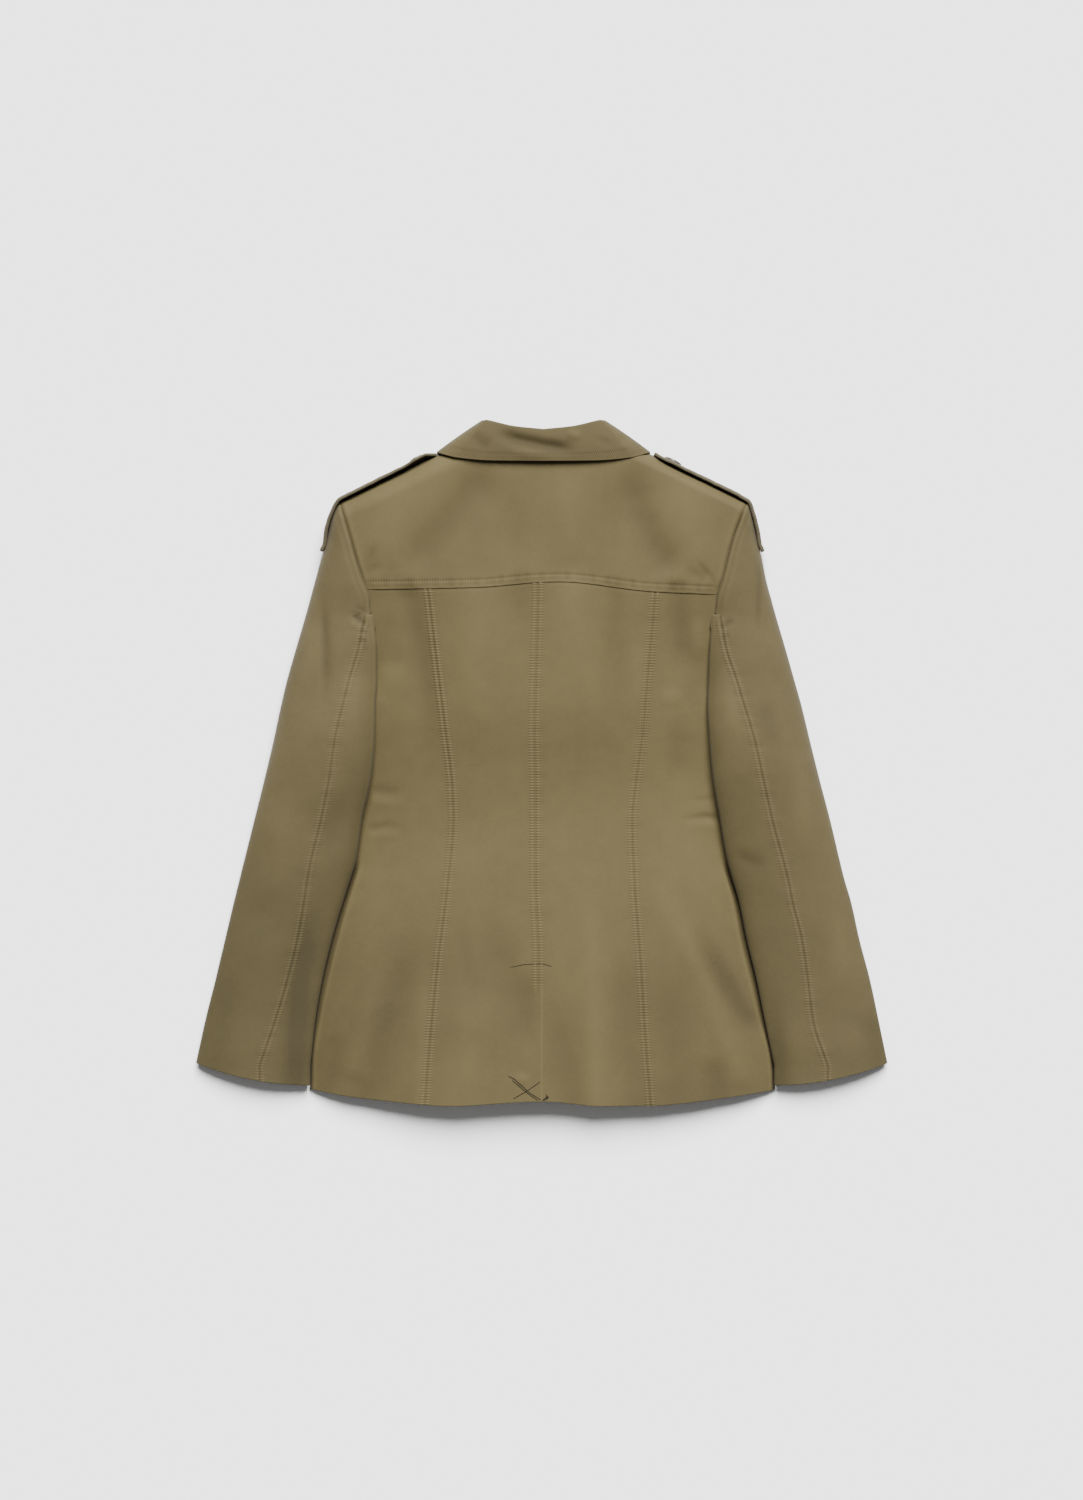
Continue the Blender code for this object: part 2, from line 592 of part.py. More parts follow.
# The inner half of a sleeve, from the back seam over the inner fold to its underside
def add_under_sleeve(side, material):
    first = (CAP_TOP - UNDER_TOP) / (CAP_TOP - CUFF_OUTER_Y)
    rows = []
    for along in first + (1 - first) * np.linspace(0, 1, UNDER_SLEEVE_ROWS):
        y = sleeve_y(along, 1.0)
        width = abs(curve(SLEEVE, "y", "fold_" + side, y) - curve(SLEEVE, "y", "outer_" + side, y))
        start = seam_share(side, "seam", along) + SLEEVE_GAP / width
        end = seam_share(side, "under", along) + SLEEVE_GAP / width
        top = sleeve_points(side, along, 1 - (1 - start) * (1 - crowd_end(6)), None)
        low = sleeve_points(side, along, 1 - (1 - end) * crowd_start(6)[1:], sleeve_inner_underside)
        rows.append(np.concatenate([top, low]))
    outer = np.stack(rows)
    add_wall("sleeve_under_" + side, outer if side == "left" else outer[::-1], CLOTH, material)


# One line of the collar, all the way round from the left front end to the right one
def collar_line(name, turn):
    x = COLLAR_MIDDLE + np.sign(turn) * curve(COLLAR, "turn", name + "_x", np.abs(turn))
    y = curve(COLLAR, "turn", name + "_y", np.abs(turn))
    z = curve(COLLAR, "turn", name + "_z", np.abs(turn))
    return np.stack([x, y, z], axis=1)


def add_collar(material):
    turn = np.linspace(-1, 1, COLLAR_COLUMNS)
    fold = collar_line("fold", turn)
    edge = collar_line("edge", turn)
    neck = collar_line("neck", turn)
    core_x = COLLAR_MIDDLE + (fold[:, 0] - COLLAR_MIDDLE) * COLLAR_CORE_SHARE
    core = np.stack([core_x, fold[:, 1], np.full(COLLAR_COLUMNS, COLLAR_CORE_Z)], axis=1)
    inward = core - fold
    inward = inward / np.linalg.norm(inward, axis=1, keepdims=True)
    share = np.linspace(0, 1, 6)[None, :, None]
    fall = fold[:, None] * (1 - share) + edge[:, None] * share
    bulge = COLLAR_BULGE * 4 * share * (1 - share) * np.where(fall[..., 2:] > COLLAR_CORE_Z, 1, 0)
    fall = fall - inward[:, None] * bulge
    add_wall("collar_fall", fall[::-1], COLLAR_CLOTH, material)
    top = fold + inward * STAND_INSET
    share = np.linspace(0, 1, 4)[None, :, None]
    stand = top[:, None] * (1 - share) + neck[:, None] * share
    add_wall("collar_stand", stand[::-1], CLOTH, material)


def add_strap(name, path, material):
    along = np.linspace(0, 1, STRAP_ROWS)
    x = curve(path, "along", "x", along)
    y = curve(path, "along", "y", along)
    outward = np.stack([np.gradient(y), -np.gradient(x)], axis=1)
    outward = outward / np.linalg.norm(outward, axis=1, keepdims=True)
    if outward[0, 1] < 0:
        outward = -outward
    full = smooth(along, 0, STRAP_END_REACH)
    half = STRAP_HALF * (STRAP_END_SHARE + (1 - STRAP_END_SHARE) * full)[:, None]
    lift = np.linspace(-1, 1, 5)[None, :] * half
    back = lift ** 2 / (2 * STRAP_CURL)
    strap_x = x[:, None] - outward[:, :1] * back
    strap_y = y[:, None] - outward[:, 1:] * back
    outer = np.stack([strap_x, strap_y, STRAP_Z + lift], axis=2)
    add_wall(name, outer[::-1] if x[0] > 0 else outer, STRAP_CLOTH, material)


# A round button with a rounded rim, turned about an axis and placed by its back face
def add_button(name, radius, thick, place, axis, material):
    profile = BUTTON_PROFILE
    sides = BUTTON_SIDES
    axis = np.asarray(axis, float)
    axis = axis / np.linalg.norm(axis)
    first = np.cross(axis, (0.0, 0.0, 1.0)) if abs(axis[2]) < 0.9 else np.array((1.0, 0.0, 0.0))
    first = first / np.linalg.norm(first)
    second = np.cross(axis, first)
    points = [np.asarray(place) + axis * thick * profile[0][1]]
    for share, height in profile[1:-1]:
        for i in range(sides):
            angle = 2 * math.pi * i / sides
            spoke = first * math.cos(angle) + second * math.sin(angle)
            points.append(np.asarray(place) + spoke * radius * share + axis * thick * height)
    points.append(np.asarray(place) + axis * thick * profile[-1][1])
    rings = len(profile) - 2
    faces = []
    for i in range(sides):
        j = (i + 1) % sides
        faces.append((0, 1 + j, 1 + i))
        for k in range(rings - 1):
            a = 1 + k * sides
            faces.append((a + i, a + j, a + sides + j, a + sides + i))
        a = 1 + (rings - 1) * sides
        faces.append((a + i, a + j, len(points) - 1))
    add_mesh(name, np.array(points) * MILLIMETRE, faces, material)


def add_buttons(material):
    for i in range(FRONT_BUTTON_COUNT):
        place = (0.0, FRONT_BUTTON_TOP - i * FRONT_BUTTON_STEP, CHANNEL_Z - SEAM_GAP)
        name = "front_button_%d" % (i + 1)
        add_button(name, FRONT_BUTTON_RADIUS, FRONT_BUTTON_THICK, place, (0, 0, -1), material)
    for name, path in (("left", STRAP_LEFT), ("right", STRAP_RIGHT)):
        at = np.array([STRAP_BUTTON_AT - 0.01, STRAP_BUTTON_AT, STRAP_BUTTON_AT + 0.01])
        x = curve(path, "along", "x", at)
        y = curve(path, "along", "y", at)
        axis = np.array([y[0] - y[2], x[2] - x[0], 0.0])
        axis = axis / np.linalg.norm(axis) * (1 if axis[1] > 0 else -1)
        place = np.array([x[1], y[1], STRAP_Z]) + axis * SEAM_GAP
        node = "epaulette_button_" + name
        add_button(node, STRAP_BUTTON_RADIUS, STRAP_BUTTON_THICK, place, axis, material)


def main():
    clear_scene()
    cloth = make_material("olive_cotton", CLOTH_COLOUR, 0.75)
    strap = make_material("strap_cotton", STRAP_COLOUR, 0.75)
    plastic = make_material("button_plastic", BUTTON_COLOUR, 0.45)
    add_yoke(cloth)
    add_back(cloth)
    add_vent(cloth)
    add_front("front_left", -1, cloth)
    add_front("front_right", 1, cloth)
    for side in ("left", "right"):
        add_upper_sleeve(side, cloth)
        add_under_sleeve(side, cloth)
    add_collar(cloth)
    add_strap("epaulette_left", STRAP_LEFT, strap)
    add_strap("epaulette_right", STRAP_RIGHT, strap)
    add_buttons(plastic)


main()
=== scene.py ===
# Olive cotton field jacket, laid on its front on a pale studio floor and softly filled out.
# Tables are in millimetres: X to the right, Y up to the collar, Z off the floor.
import math

import bpy
import numpy as np
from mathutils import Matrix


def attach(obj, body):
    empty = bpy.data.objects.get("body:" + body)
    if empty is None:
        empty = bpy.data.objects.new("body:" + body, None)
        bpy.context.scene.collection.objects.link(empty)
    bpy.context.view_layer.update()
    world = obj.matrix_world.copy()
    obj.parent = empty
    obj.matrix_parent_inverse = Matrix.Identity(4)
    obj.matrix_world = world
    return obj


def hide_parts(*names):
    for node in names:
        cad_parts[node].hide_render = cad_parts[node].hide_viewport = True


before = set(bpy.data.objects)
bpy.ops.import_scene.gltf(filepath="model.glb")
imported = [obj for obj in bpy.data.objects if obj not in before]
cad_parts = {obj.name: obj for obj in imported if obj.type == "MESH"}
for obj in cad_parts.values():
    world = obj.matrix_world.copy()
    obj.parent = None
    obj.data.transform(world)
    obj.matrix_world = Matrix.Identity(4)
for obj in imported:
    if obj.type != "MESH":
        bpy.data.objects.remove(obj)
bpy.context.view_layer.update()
mm = 0.001

# smooth curves and soft shapes


def through(table, key, name, at):  # smooth curve through a table, never past its values
    knots = np.asarray(table[key], float)
    values = np.asarray(table[name], float)
    if knots[0] > knots[-1]:
        knots, values = knots[::-1], values[::-1]
    step = np.diff(knots)
    slope = np.diff(values) / step
    tangent = np.zeros_like(values)
    tangent[0], tangent[-1] = slope[0], slope[-1]
    for i in range(1, len(knots) - 1):
        if slope[i - 1] * slope[i] > 0:
            before = 2 * step[i] + step[i - 1]
            after = step[i] + 2 * step[i - 1]
            tangent[i] = (before + after) / (before / slope[i - 1] + after / slope[i])
    at = np.clip(np.asarray(at, float), knots[0], knots[-1])
    i = np.clip(np.searchsorted(knots, at) - 1, 0, len(step) - 1)
    t = (at - knots[i]) / step[i]
    return (
        (1 + 2 * t) * (1 - t) ** 2 * values[i]
        + t * (1 - t) ** 2 * step[i] * tangent[i]
        + t * t * (3 - 2 * t) * values[i + 1]
        + t * t * (t - 1) * step[i] * tangent[i + 1]
    )


def ease(value, low, high):
    t = np.clip((np.asarray(value, float) - low) / (high - low), 0, 1)
    return t * t * (3 - 2 * t)


def quarterRound(share):
    share = np.clip(np.asarray(share, float), 0, 1)
    return np.sqrt(1 - (1 - share) ** 2)


def closeToEnd(count):
    return np.sin(np.linspace(0, 1, count) * math.pi / 2)


def closeToStart(count):
    return 1 - np.cos(np.linspace(0, 1, count) * math.pi / 2)


def bell(away, half):
    return np.exp(-((away / half) ** 2))


def foldSum(folds, x, y):  # soft troughs and ridges laid along listed lines: height, and tone that is painted shade in troughs and painted highlight on ridges
    height = np.zeros(np.broadcast(x, y).shape)
    tone = np.zeros(height.shape)
    for fold in folds:
        line = np.array(fold["line"], float)
        lengths = np.hypot(*np.diff(line, axis=0).T)
        near = np.full(height.shape, 1e9)
        run = np.zeros(height.shape)
        start = 0.0
        for (ax, ay), (bx, by), length in zip(line[:-1], line[1:], lengths):
            along = np.clip(((x - ax) * (bx - ax) + (y - ay) * (by - ay)) / length**2, 0, 1)
            away = np.hypot(x - ax - along * (bx - ax), y - ay - along * (by - ay))
            run = np.where(away < near, start + along * length, run)
            near = np.minimum(near, away)
            start += length
        share = run / lengths.sum()
        first, last = (f and max(f, 1.3 * fold["half"] / lengths.sum()) for f in fold.get("fade", (0.4, 0.4)))
        taper = ease(share, 0, first) if first else 1.0
        taper = taper * ((1 - ease(share, 1 - last, 1)) if last else 1.0)
        shape = taper * bell(near, fold["half"])
        height = height + fold["depth"] * shape
        # painted shade and highlight along the fold
        tone = tone + fold.get("tone", fold["depth"] / 5) * shape
    return height, tone


def ripple(run, pitch, seed):  # uneven wave, about -1 to 1
    dice = np.random.default_rng(seed)
    total = 0.0
    for share, weight in ((1.0, 0.5), (0.63, 0.3), (1.73, 0.35), (0.41, 0.15)):
        total = total + weight * np.sin(2 * math.pi * run / (pitch * share) + dice.uniform(0, 6.28))
    return total


def unevenness(x, y, wave, seed):  # broad, gentle, never the same twice
    dice = np.random.default_rng(seed)
    total = 0.0
    for _ in range(7):
        angle = dice.uniform(0, math.pi)
        length = wave * dice.uniform(0.6, 1.8)
        phase = dice.uniform(0, 6.28)
        total = total + np.sin(2 * math.pi * (x * math.cos(angle) + y * math.sin(angle)) / length + phase)
    return total / 3.5


# finishes


def newGroup(name, inputs, outputs):
    group = bpy.data.node_groups.new(name, "ShaderNodeTree")
    for label, kind, value in inputs:
        socket = group.interface.new_socket(label, in_out="INPUT", socket_type=kind)
        if value is not None:
            socket.default_value = value
    for label, kind in outputs:
        group.interface.new_socket(label, in_out="OUTPUT", socket_type=kind)
    start = group.nodes.new("NodeGroupInput")
    end = group.nodes.new("NodeGroupOutput")
    return group, start, end


def calc(group, operation, first, second=None, third=None):
    node = group.nodes.new("ShaderNodeMath")
    node.operation = operation
    for i, value in enumerate((first, second, third)):
        if value is None:
            continue
        if isinstance(value, (int, float)):
            node.inputs[i].default_value = value
        else:
            group.links.new(value, node.inputs[i])
    return node.outputs[0]


def buildWeaveGroup():  # fine twill: diagonal ribs crossed by slightly uneven threads
    group, start, end = newGroup(
        "twillWeave",
        (("Place", "NodeSocketVector", None), ("Ribs per metre", "NodeSocketFloat", 1500.0)),
        (("Height", "NodeSocketFloat"), ("Thread", "NodeSocketFloat")),
    )
    links = group.links
    split = group.nodes.new("ShaderNodeSeparateXYZ")
    links.new(start.outputs["Place"], split.inputs[0])
    slub = group.nodes.new("ShaderNodeTexNoise")
    slub.inputs["Scale"].default_value = 260
    slub.inputs["Detail"].default_value = 2
    links.new(start.outputs["Place"], slub.inputs["Vector"])
    diagonal = calc(group, "ADD", split.outputs["X"], calc(group, "MULTIPLY", split.outputs["Y"], 0.62))
    turns = calc(group, "MULTIPLY", diagonal, start.outputs["Ribs per metre"])
    bent = calc(group, "ADD", turns, calc(group, "MULTIPLY", slub.outputs["Fac"], 1.4))
    rib = calc(group, "SINE", calc(group, "MULTIPLY", bent, 6.2832))
    across = calc(group, "MULTIPLY", split.outputs["Y"], start.outputs["Ribs per metre"])
    pick = calc(group, "SINE", calc(group, "MULTIPLY", across, 8.4))
    height = calc(group, "ADD", calc(group, "MULTIPLY", rib, 0.36), calc(group, "MULTIPLY", pick, 0.14))
    links.new(calc(group, "ADD", height, 0.5), end.inputs["Height"])
    links.new(slub.outputs["Fac"], end.inputs["Thread"])
    return group


def buildShadingGroup():  # mottle and painted shade: random mottle and thread tone, with painted shade in the hollows and a painted highlight along crests and seam edges
    group, start, end = newGroup(
        "mottleAndPaintedShade",
        (
            ("Colour", "NodeSocketColor", (0.2, 0.16, 0.08, 1)),
            ("Light mottle and painted highlight", "NodeSocketColor", (0.3, 0.24, 0.14, 1)),
            ("Dark mottle and painted shade", "NodeSocketColor", (0.12, 0.1, 0.05, 1)),
            ("Painted shade and tone", "NodeSocketFloat", 0.0),
            ("Thread", "NodeSocketFloat", 0.5),
            ("Place", "NodeSocketVector", None),
            ("Amount", "NodeSocketFloat", 1.0),
        ),
        (("Colour", "NodeSocketColor"), ("Roughness", "NodeSocketFloat")),
    )
    links = group.links
    cloud = group.nodes.new("ShaderNodeTexNoise")
    cloud.inputs["Scale"].default_value = 9
    cloud.inputs["Detail"].default_value = 3
    links.new(start.outputs["Place"], cloud.inputs["Vector"])
    mottle = group.nodes.new("ShaderNodeTexNoise")
    mottle.inputs["Scale"].default_value = 70
    mottle.inputs["Detail"].default_value = 4
    links.new(start.outputs["Place"], mottle.inputs["Vector"])
    broad = calc(group, "MULTIPLY", calc(group, "SUBTRACT", cloud.outputs["Fac"], 0.5), 0.9)
    small = calc(group, "MULTIPLY", calc(group, "SUBTRACT", mottle.outputs["Fac"], 0.5), 0.35)
    soft = calc(group, "ADD", broad, small)
    fibre = calc(group, "MULTIPLY", calc(group, "SUBTRACT", start.outputs["Thread"], 0.5), 0.3)
    # the mesh's mask is painted shade and highlight (with random tone on the body), scaled by its amount
    paintedShadeAndTone = calc(group, "MULTIPLY", start.outputs["Painted shade and tone"], start.outputs["Amount"])
    whole = calc(group, "ADD", calc(group, "ADD", soft, fibre), paintedShadeAndTone)
    up = group.nodes.new("ShaderNodeMix")
    up.data_type = "RGBA"
    up.clamp_factor = True
    links.new(calc(group, "MAXIMUM", whole, 0.0), up.inputs["Factor"])
    links.new(start.outputs["Colour"], up.inputs["A"])
    links.new(start.outputs["Light mottle and painted highlight"], up.inputs["B"])
    down = group.nodes.new("ShaderNodeMix")
    down.data_type = "RGBA"
    down.clamp_factor = True
    links.new(calc(group, "MAXIMUM", calc(group, "MULTIPLY", whole, -1.0), 0.0), down.inputs["Factor"])
    links.new(up.outputs["Result"], down.inputs["A"])
    links.new(start.outputs["Dark mottle and painted shade"], down.inputs["B"])
    links.new(down.outputs["Result"], end.inputs["Colour"])
    rough = calc(group, "ADD", 0.78, calc(group, "MULTIPLY", soft, 0.12))
    links.new(rough, end.inputs["Roughness"])
    return group


def buildPuckerGroup():  # the tiny ripples that a machine stitch draws up along a seam
    group, start, end = newGroup(
        "stitchPucker",
        (
            ("Away", "NodeSocketFloat", 50.0),
            ("Run", "NodeSocketFloat", 0.0),
            ("Pitch", "NodeSocketFloat", 2.7),
            ("Reach", "NodeSocketFloat", 3.0),
        ),
        (("Height", "NodeSocketFloat"),),
    )
    turns = calc(group, "DIVIDE", start.outputs["Run"], start.outputs["Pitch"])
    wave = calc(group, "SINE", calc(group, "MULTIPLY", turns, 6.2832))
    near = calc(group, "DIVIDE", start.outputs["Away"], start.outputs["Reach"])
    fall = calc(group, "EXPONENT", calc(group, "MULTIPLY", calc(group, "MULTIPLY", near, near), -1.0))
    group.links.new(calc(group, "MULTIPLY", wave, fall), end.inputs["Height"])
    return group


weaveGroup = buildWeaveGroup()
shadingGroup = buildShadingGroup()
puckerGroup = buildPuckerGroup()


def addGroup(tree, group):
    node = tree.nodes.new("ShaderNodeGroup")
    node.node_tree = group
    return node


def clothFinish(name, look):
    material = bpy.data.materials.new(name)
    material.use_nodes = True
    tree = material.node_tree
    shader = tree.nodes["Principled BSDF"]
    place = tree.nodes.new("ShaderNodeTexCoord")
    weaveMap = tree.nodes.new("ShaderNodeUVMap")
    weaveMap.uv_map = "weave"
    weave = addGroup(tree, weaveGroup)
    weave.inputs["Ribs per metre"].default_value = look["ribs"]
    tree.links.new(weaveMap.outputs["UV"], weave.inputs["Place"])
    paintedShading = addGroup(tree, shadingGroup)
    paintedShading.inputs["Colour"].default_value = (*look["colour"], 1)
    paintedShading.inputs["Light mottle and painted highlight"].default_value = (*look["lightMottleAndHighlight"], 1)
    paintedShading.inputs["Dark mottle and painted shade"].default_value = (*look["darkMottleAndShade"], 1)
    paintedShading.inputs["Amount"].default_value = look["paintedShading"]
    # the mesh's painted shade and highlight mask, which on the body also holds random tone
    paintedShadeAndTone = tree.nodes.new("ShaderNodeAttribute")
    paintedShadeAndTone.attribute_name = "paintedShadeAndTone"
    tree.links.new(weave.outputs["Thread"], paintedShading.inputs["Thread"])
    tree.links.new(place.outputs["Object"], paintedShading.inputs["Place"])
    tree.links.new(paintedShading.outputs["Colour"], shader.inputs["Base Color"])
    tree.links.new(paintedShading.outputs["Roughness"], shader.inputs["Roughness"])
    pucker = addGroup(tree, puckerGroup)
    for socket, attribute in (("Away", "seamAway"), ("Run", "seamRun")):
        node = tree.nodes.new("ShaderNodeAttribute")
        node.attribute_name = attribute
        tree.links.new(node.outputs["Fac"], pucker.inputs[socket])
    # the stitch ripples also paint shade and highlight in ticks along the seams
    puckerShade = calc(tree, "MULTIPLY", pucker.outputs["Height"], look["puckerShade"])
    tree.links.new(calc(tree, "ADD", paintedShadeAndTone.outputs["Fac"], puckerShade), paintedShading.inputs["Painted shade and tone"])
    fine = tree.nodes.new("ShaderNodeBump")
    fine.inputs["Distance"].default_value = look["weaveDepth"]
    fine.inputs["Strength"].default_value = 0.6
    tree.links.new(weave.outputs["Height"], fine.inputs["Height"])
    drawn = tree.nodes.new("ShaderNodeBump")
    drawn.inputs["Distance"].default_value = look["puckerDepth"]
    drawn.inputs["Strength"].default_value = 1.0
    tree.links.new(pucker.outputs["Height"], drawn.inputs["Height"])
    tree.links.new(fine.outputs["Normal"], drawn.inputs["Normal"])
    tree.links.new(drawn.outputs["Normal"], shader.inputs["Normal"])
    shader.inputs["Metallic"].default_value = 0.0
    shader.inputs["Specular IOR Level"].default_value = 0.2
    shader.inputs["Sheen Weight"].default_value = look["sheen"]
    shader.inputs["Sheen Roughness"].default_value = 0.45
    shader.inputs["Sheen Tint"].default_value = (0.82, 0.78, 0.74, 1)
    return material


bodyLook = {
    "colour": (0.0614, 0.048, 0.0186),
    "lightMottleAndHighlight": (0.088, 0.0701, 0.0298),
    "darkMottleAndShade": (0.034, 0.0256, 0.0088),
    "ribs": 1500,
    "paintedShading": 0.8,
    "weaveDepth": 0.00006,
    "puckerDepth": 0.00016,
    "puckerShade": 0.1,
    "sheen": 0.06,
}
# the sleeves take a darker copy of the body's cloth: painted shade
sleeveShadedLook = dict(
    bodyLook,
    puckerDepth=0.0001,
    puckerShade=0.05,
    colour=(0.0524, 0.0411, 0.0161),
    lightMottleAndHighlight=(0.0798, 0.0641, 0.0278),
    darkMottleAndShade=(0.0286, 0.022, 0.0078),
)
strapLook = dict(
    bodyLook,
    colour=(0.05, 0.041, 0.0215),
    lightMottleAndHighlight=(0.074, 0.061, 0.034),
    darkMottleAndShade=(0.031, 0.025, 0.012),
)
collarLook = dict(bodyLook, colour=(0.0504, 0.0389, 0.0148), lightMottleAndHighlight=(0.0737, 0.0588, 0.0243))
bodyCloth = clothFinish("oliveTwill", bodyLook)
sleeveShadedCloth = clothFinish("oliveTwillShadedSleeve", sleeveShadedLook)
strapCloth = clothFinish("oliveTwillStrap", strapLook)
collarCloth = clothFinish("oliveTwillCollar", collarLook)


def threadFinish(name, colour):
    material = bpy.data.materials.new(name)
    material.use_nodes = True
    tree = material.node_tree
    shader = tree.nodes["Principled BSDF"]
    place = tree.nodes.new("ShaderNodeTexCoord")
    noise = tree.nodes.new("ShaderNodeTexNoise")
    noise.inputs["Scale"].default_value = 900
    tree.links.new(place.outputs["Object"], noise.inputs["Vector"])
    ramp = tree.nodes.new("ShaderNodeValToRGB")
    ramp.color_ramp.elements[0].color = (*(c * 0.75 for c in colour), 1)
    ramp.color_ramp.elements[1].color = (*(c * 1.2 for c in colour), 1)
    tree.links.new(noise.outputs["Fac"], ramp.inputs["Fac"])
    tree.links.new(ramp.outputs["Color"], shader.inputs["Base Color"])
    bump = tree.nodes.new("ShaderNodeBump")
    bump.inputs["Distance"].default_value = 0.00005
    tree.links.new(noise.outputs["Fac"], bump.inputs["Height"])
    tree.links.new(bump.outputs["Normal"], shader.inputs["Normal"])
    shader.inputs["Roughness"].default_value = 0.7
    shader.inputs["Specular IOR Level"].default_value = 0.2
    return material


stitchThread = threadFinish("oliveThread", (0.074, 0.059, 0.027))
bastingThread = threadFinish("bastingThread", (0.009, 0.007, 0.0035))


def buttonFinish():
    material = bpy.data.materials.new("brownButton")
    material.use_nodes = True
    tree = material.node_tree
    shader = tree.nodes["Principled BSDF"]
    place = tree.nodes.new("ShaderNodeTexCoord")
    grain = tree.nodes.new("ShaderNodeTexNoise")
    grain.inputs["Scale"].default_value = 160
    grain.inputs["Detail"].default_value = 5
    grain.inputs["Distortion"].default_value = 1.6
    tree.links.new(place.outputs["Object"], grain.inputs["Vector"])
    ramp = tree.nodes.new("ShaderNodeValToRGB")
    ramp.color_ramp.elements[0].position = 0.32
    ramp.color_ramp.elements[0].color = (0.034, 0.025, 0.018, 1)
    ramp.color_ramp.elements[1].position = 0.7
    ramp.color_ramp.elements[1].color = (0.075, 0.058, 0.044, 1)
    tree.links.new(grain.outputs["Fac"], ramp.inputs["Fac"])
    tree.links.new(ramp.outputs["Color"], shader.inputs["Base Color"])
    bump = tree.nodes.new("ShaderNodeBump")
    bump.inputs["Distance"].default_value = 0.00004
    tree.links.new(grain.outputs["Fac"], bump.inputs["Height"])
    tree.links.new(bump.outputs["Normal"], shader.inputs["Normal"])
    shader.inputs["Roughness"].default_value = 0.42
    shader.inputs["Coat Weight"].default_value = 0.15
    return material


buttonPlastic = buttonFinish()

# cloth as a thin closed shell over a grid of points


def gridNormals(points):
    normal = np.cross(np.gradient(points, axis=0), np.gradient(points, axis=1))
    return normal / np.maximum(np.linalg.norm(normal, axis=2, keepdims=True), 1e-9)


def runLengths(points, axis, start):
    steps = np.linalg.norm(np.diff(points, axis=axis), axis=2)
    zero = np.zeros_like(np.take(steps, [0], axis=axis))
    runs = np.concatenate([zero, np.cumsum(steps, axis=axis)], axis=axis)
    return runs - np.take(runs, [start], axis=axis)


def newPiece(name, points, faces, material):
    mesh = bpy.data.meshes.new(name)
    mesh.from_pydata(points.tolist(), [], faces)
    mesh.materials.append(material)
    item = bpy.data.objects.new(name, mesh)
    bpy.context.scene.collection.objects.link(item)
    return item


def clothShell(name, outer, material, paintedShadeAndTone=None, away=None, run=None, wall=1.4, flip=False):
    size = outer.shape[:2]
    away = 60.0 if away is None else away
    extras = [np.broadcast_to(0.0 if e is None else e, size) for e in (paintedShadeAndTone, away, run)]
    if flip:
        outer = outer[::-1]
        extras = [e[::-1] for e in extras]
    rows, columns = outer.shape[:2]
    inner = outer - wall * gridNormals(outer)
    u = runLengths(outer, 1, columns // 2)
    v = runLengths(outer, 0, 0)
    loop = [(0, c) for c in range(columns)]
    loop += [(r, columns - 1) for r in range(1, rows)]
    loop += [(rows - 1, c) for c in range(columns - 2, -1, -1)]
    loop += [(r, 0) for r in range(rows - 2, 0, -1)]
    inside = [(min(max(r, 1), rows - 2), min(max(c, 1), columns - 2)) for r, c in loop]
    lr, lc = np.array(loop).T
    ir, ic = np.array(inside).T
    push = outer[lr, lc] - outer[ir, ic]
    push = push / np.maximum(np.linalg.norm(push, axis=1, keepdims=True), 1e-9)
    rim = (outer[lr, lc] + inner[lr, lc]) / 2 + push * wall * 0.3  # a turned edge is round
    points = np.concatenate([outer.reshape(-1, 3), inner.reshape(-1, 3), rim]) * mm
    shift = rows * columns
    a = (np.arange(rows - 1)[:, None] * columns + np.arange(columns - 1)[None, :]).ravel()
    b = a + columns
    faces = [
        np.stack([a, b, b + 1, a + 1], 1),
        np.stack([a + shift, a + 1 + shift, b + 1 + shift, b + shift], 1),
    ]
    edge = lr * columns + lc
    nextEdge = np.roll(edge, -1)
    rimAt = 2 * shift + np.arange(len(edge))
    nextRim = np.roll(rimAt, -1)
    faces.append(np.stack([edge, nextEdge, nextRim, rimAt], 1))
    faces.append(np.stack([rimAt, nextRim, nextEdge + shift, edge + shift], 1))
    faces = np.concatenate(faces)
    item = newPiece(name, points, faces.tolist(), material)
    mesh = item.data
    for label, values in zip(("paintedShadeAndTone", "seamAway", "seamRun"), extras):
        flat = values.reshape(-1)
        flat = np.concatenate([flat, flat, flat[edge]]).astype(np.float32)
        mesh.attributes.new(label, "FLOAT", "POINT").data.foreach_set("value", flat)
    flatU = np.concatenate([u.reshape(-1), u.reshape(-1), u.reshape(-1)[edge]]) * mm
    flatV = np.concatenate([v.reshape(-1), v.reshape(-1), v.reshape(-1)[edge]]) * mm
    corner = np.zeros(len(mesh.loops), np.int32)
    mesh.loops.foreach_get("vertex_index", corner)
    uv = mesh.uv_layers.new(name="weave")
    uv.data.foreach_set("uv", np.stack([flatU[corner], flatV[corner]], 1).astype(np.float32).ravel())
    mesh.shade_smooth()
    area = sum(p.area for p in mesh.polygons[: (rows - 1) * (columns - 1)])
    widest = np.abs(u[:, -1] - u[:, 0]).max() * mm
    longest = np.abs(v[-1] - v[0]).max() * mm
    print("  %s: widest %.4f, longest %.4f, area %.5f" % (name, widest, longest, area))
    return item


# the body's form

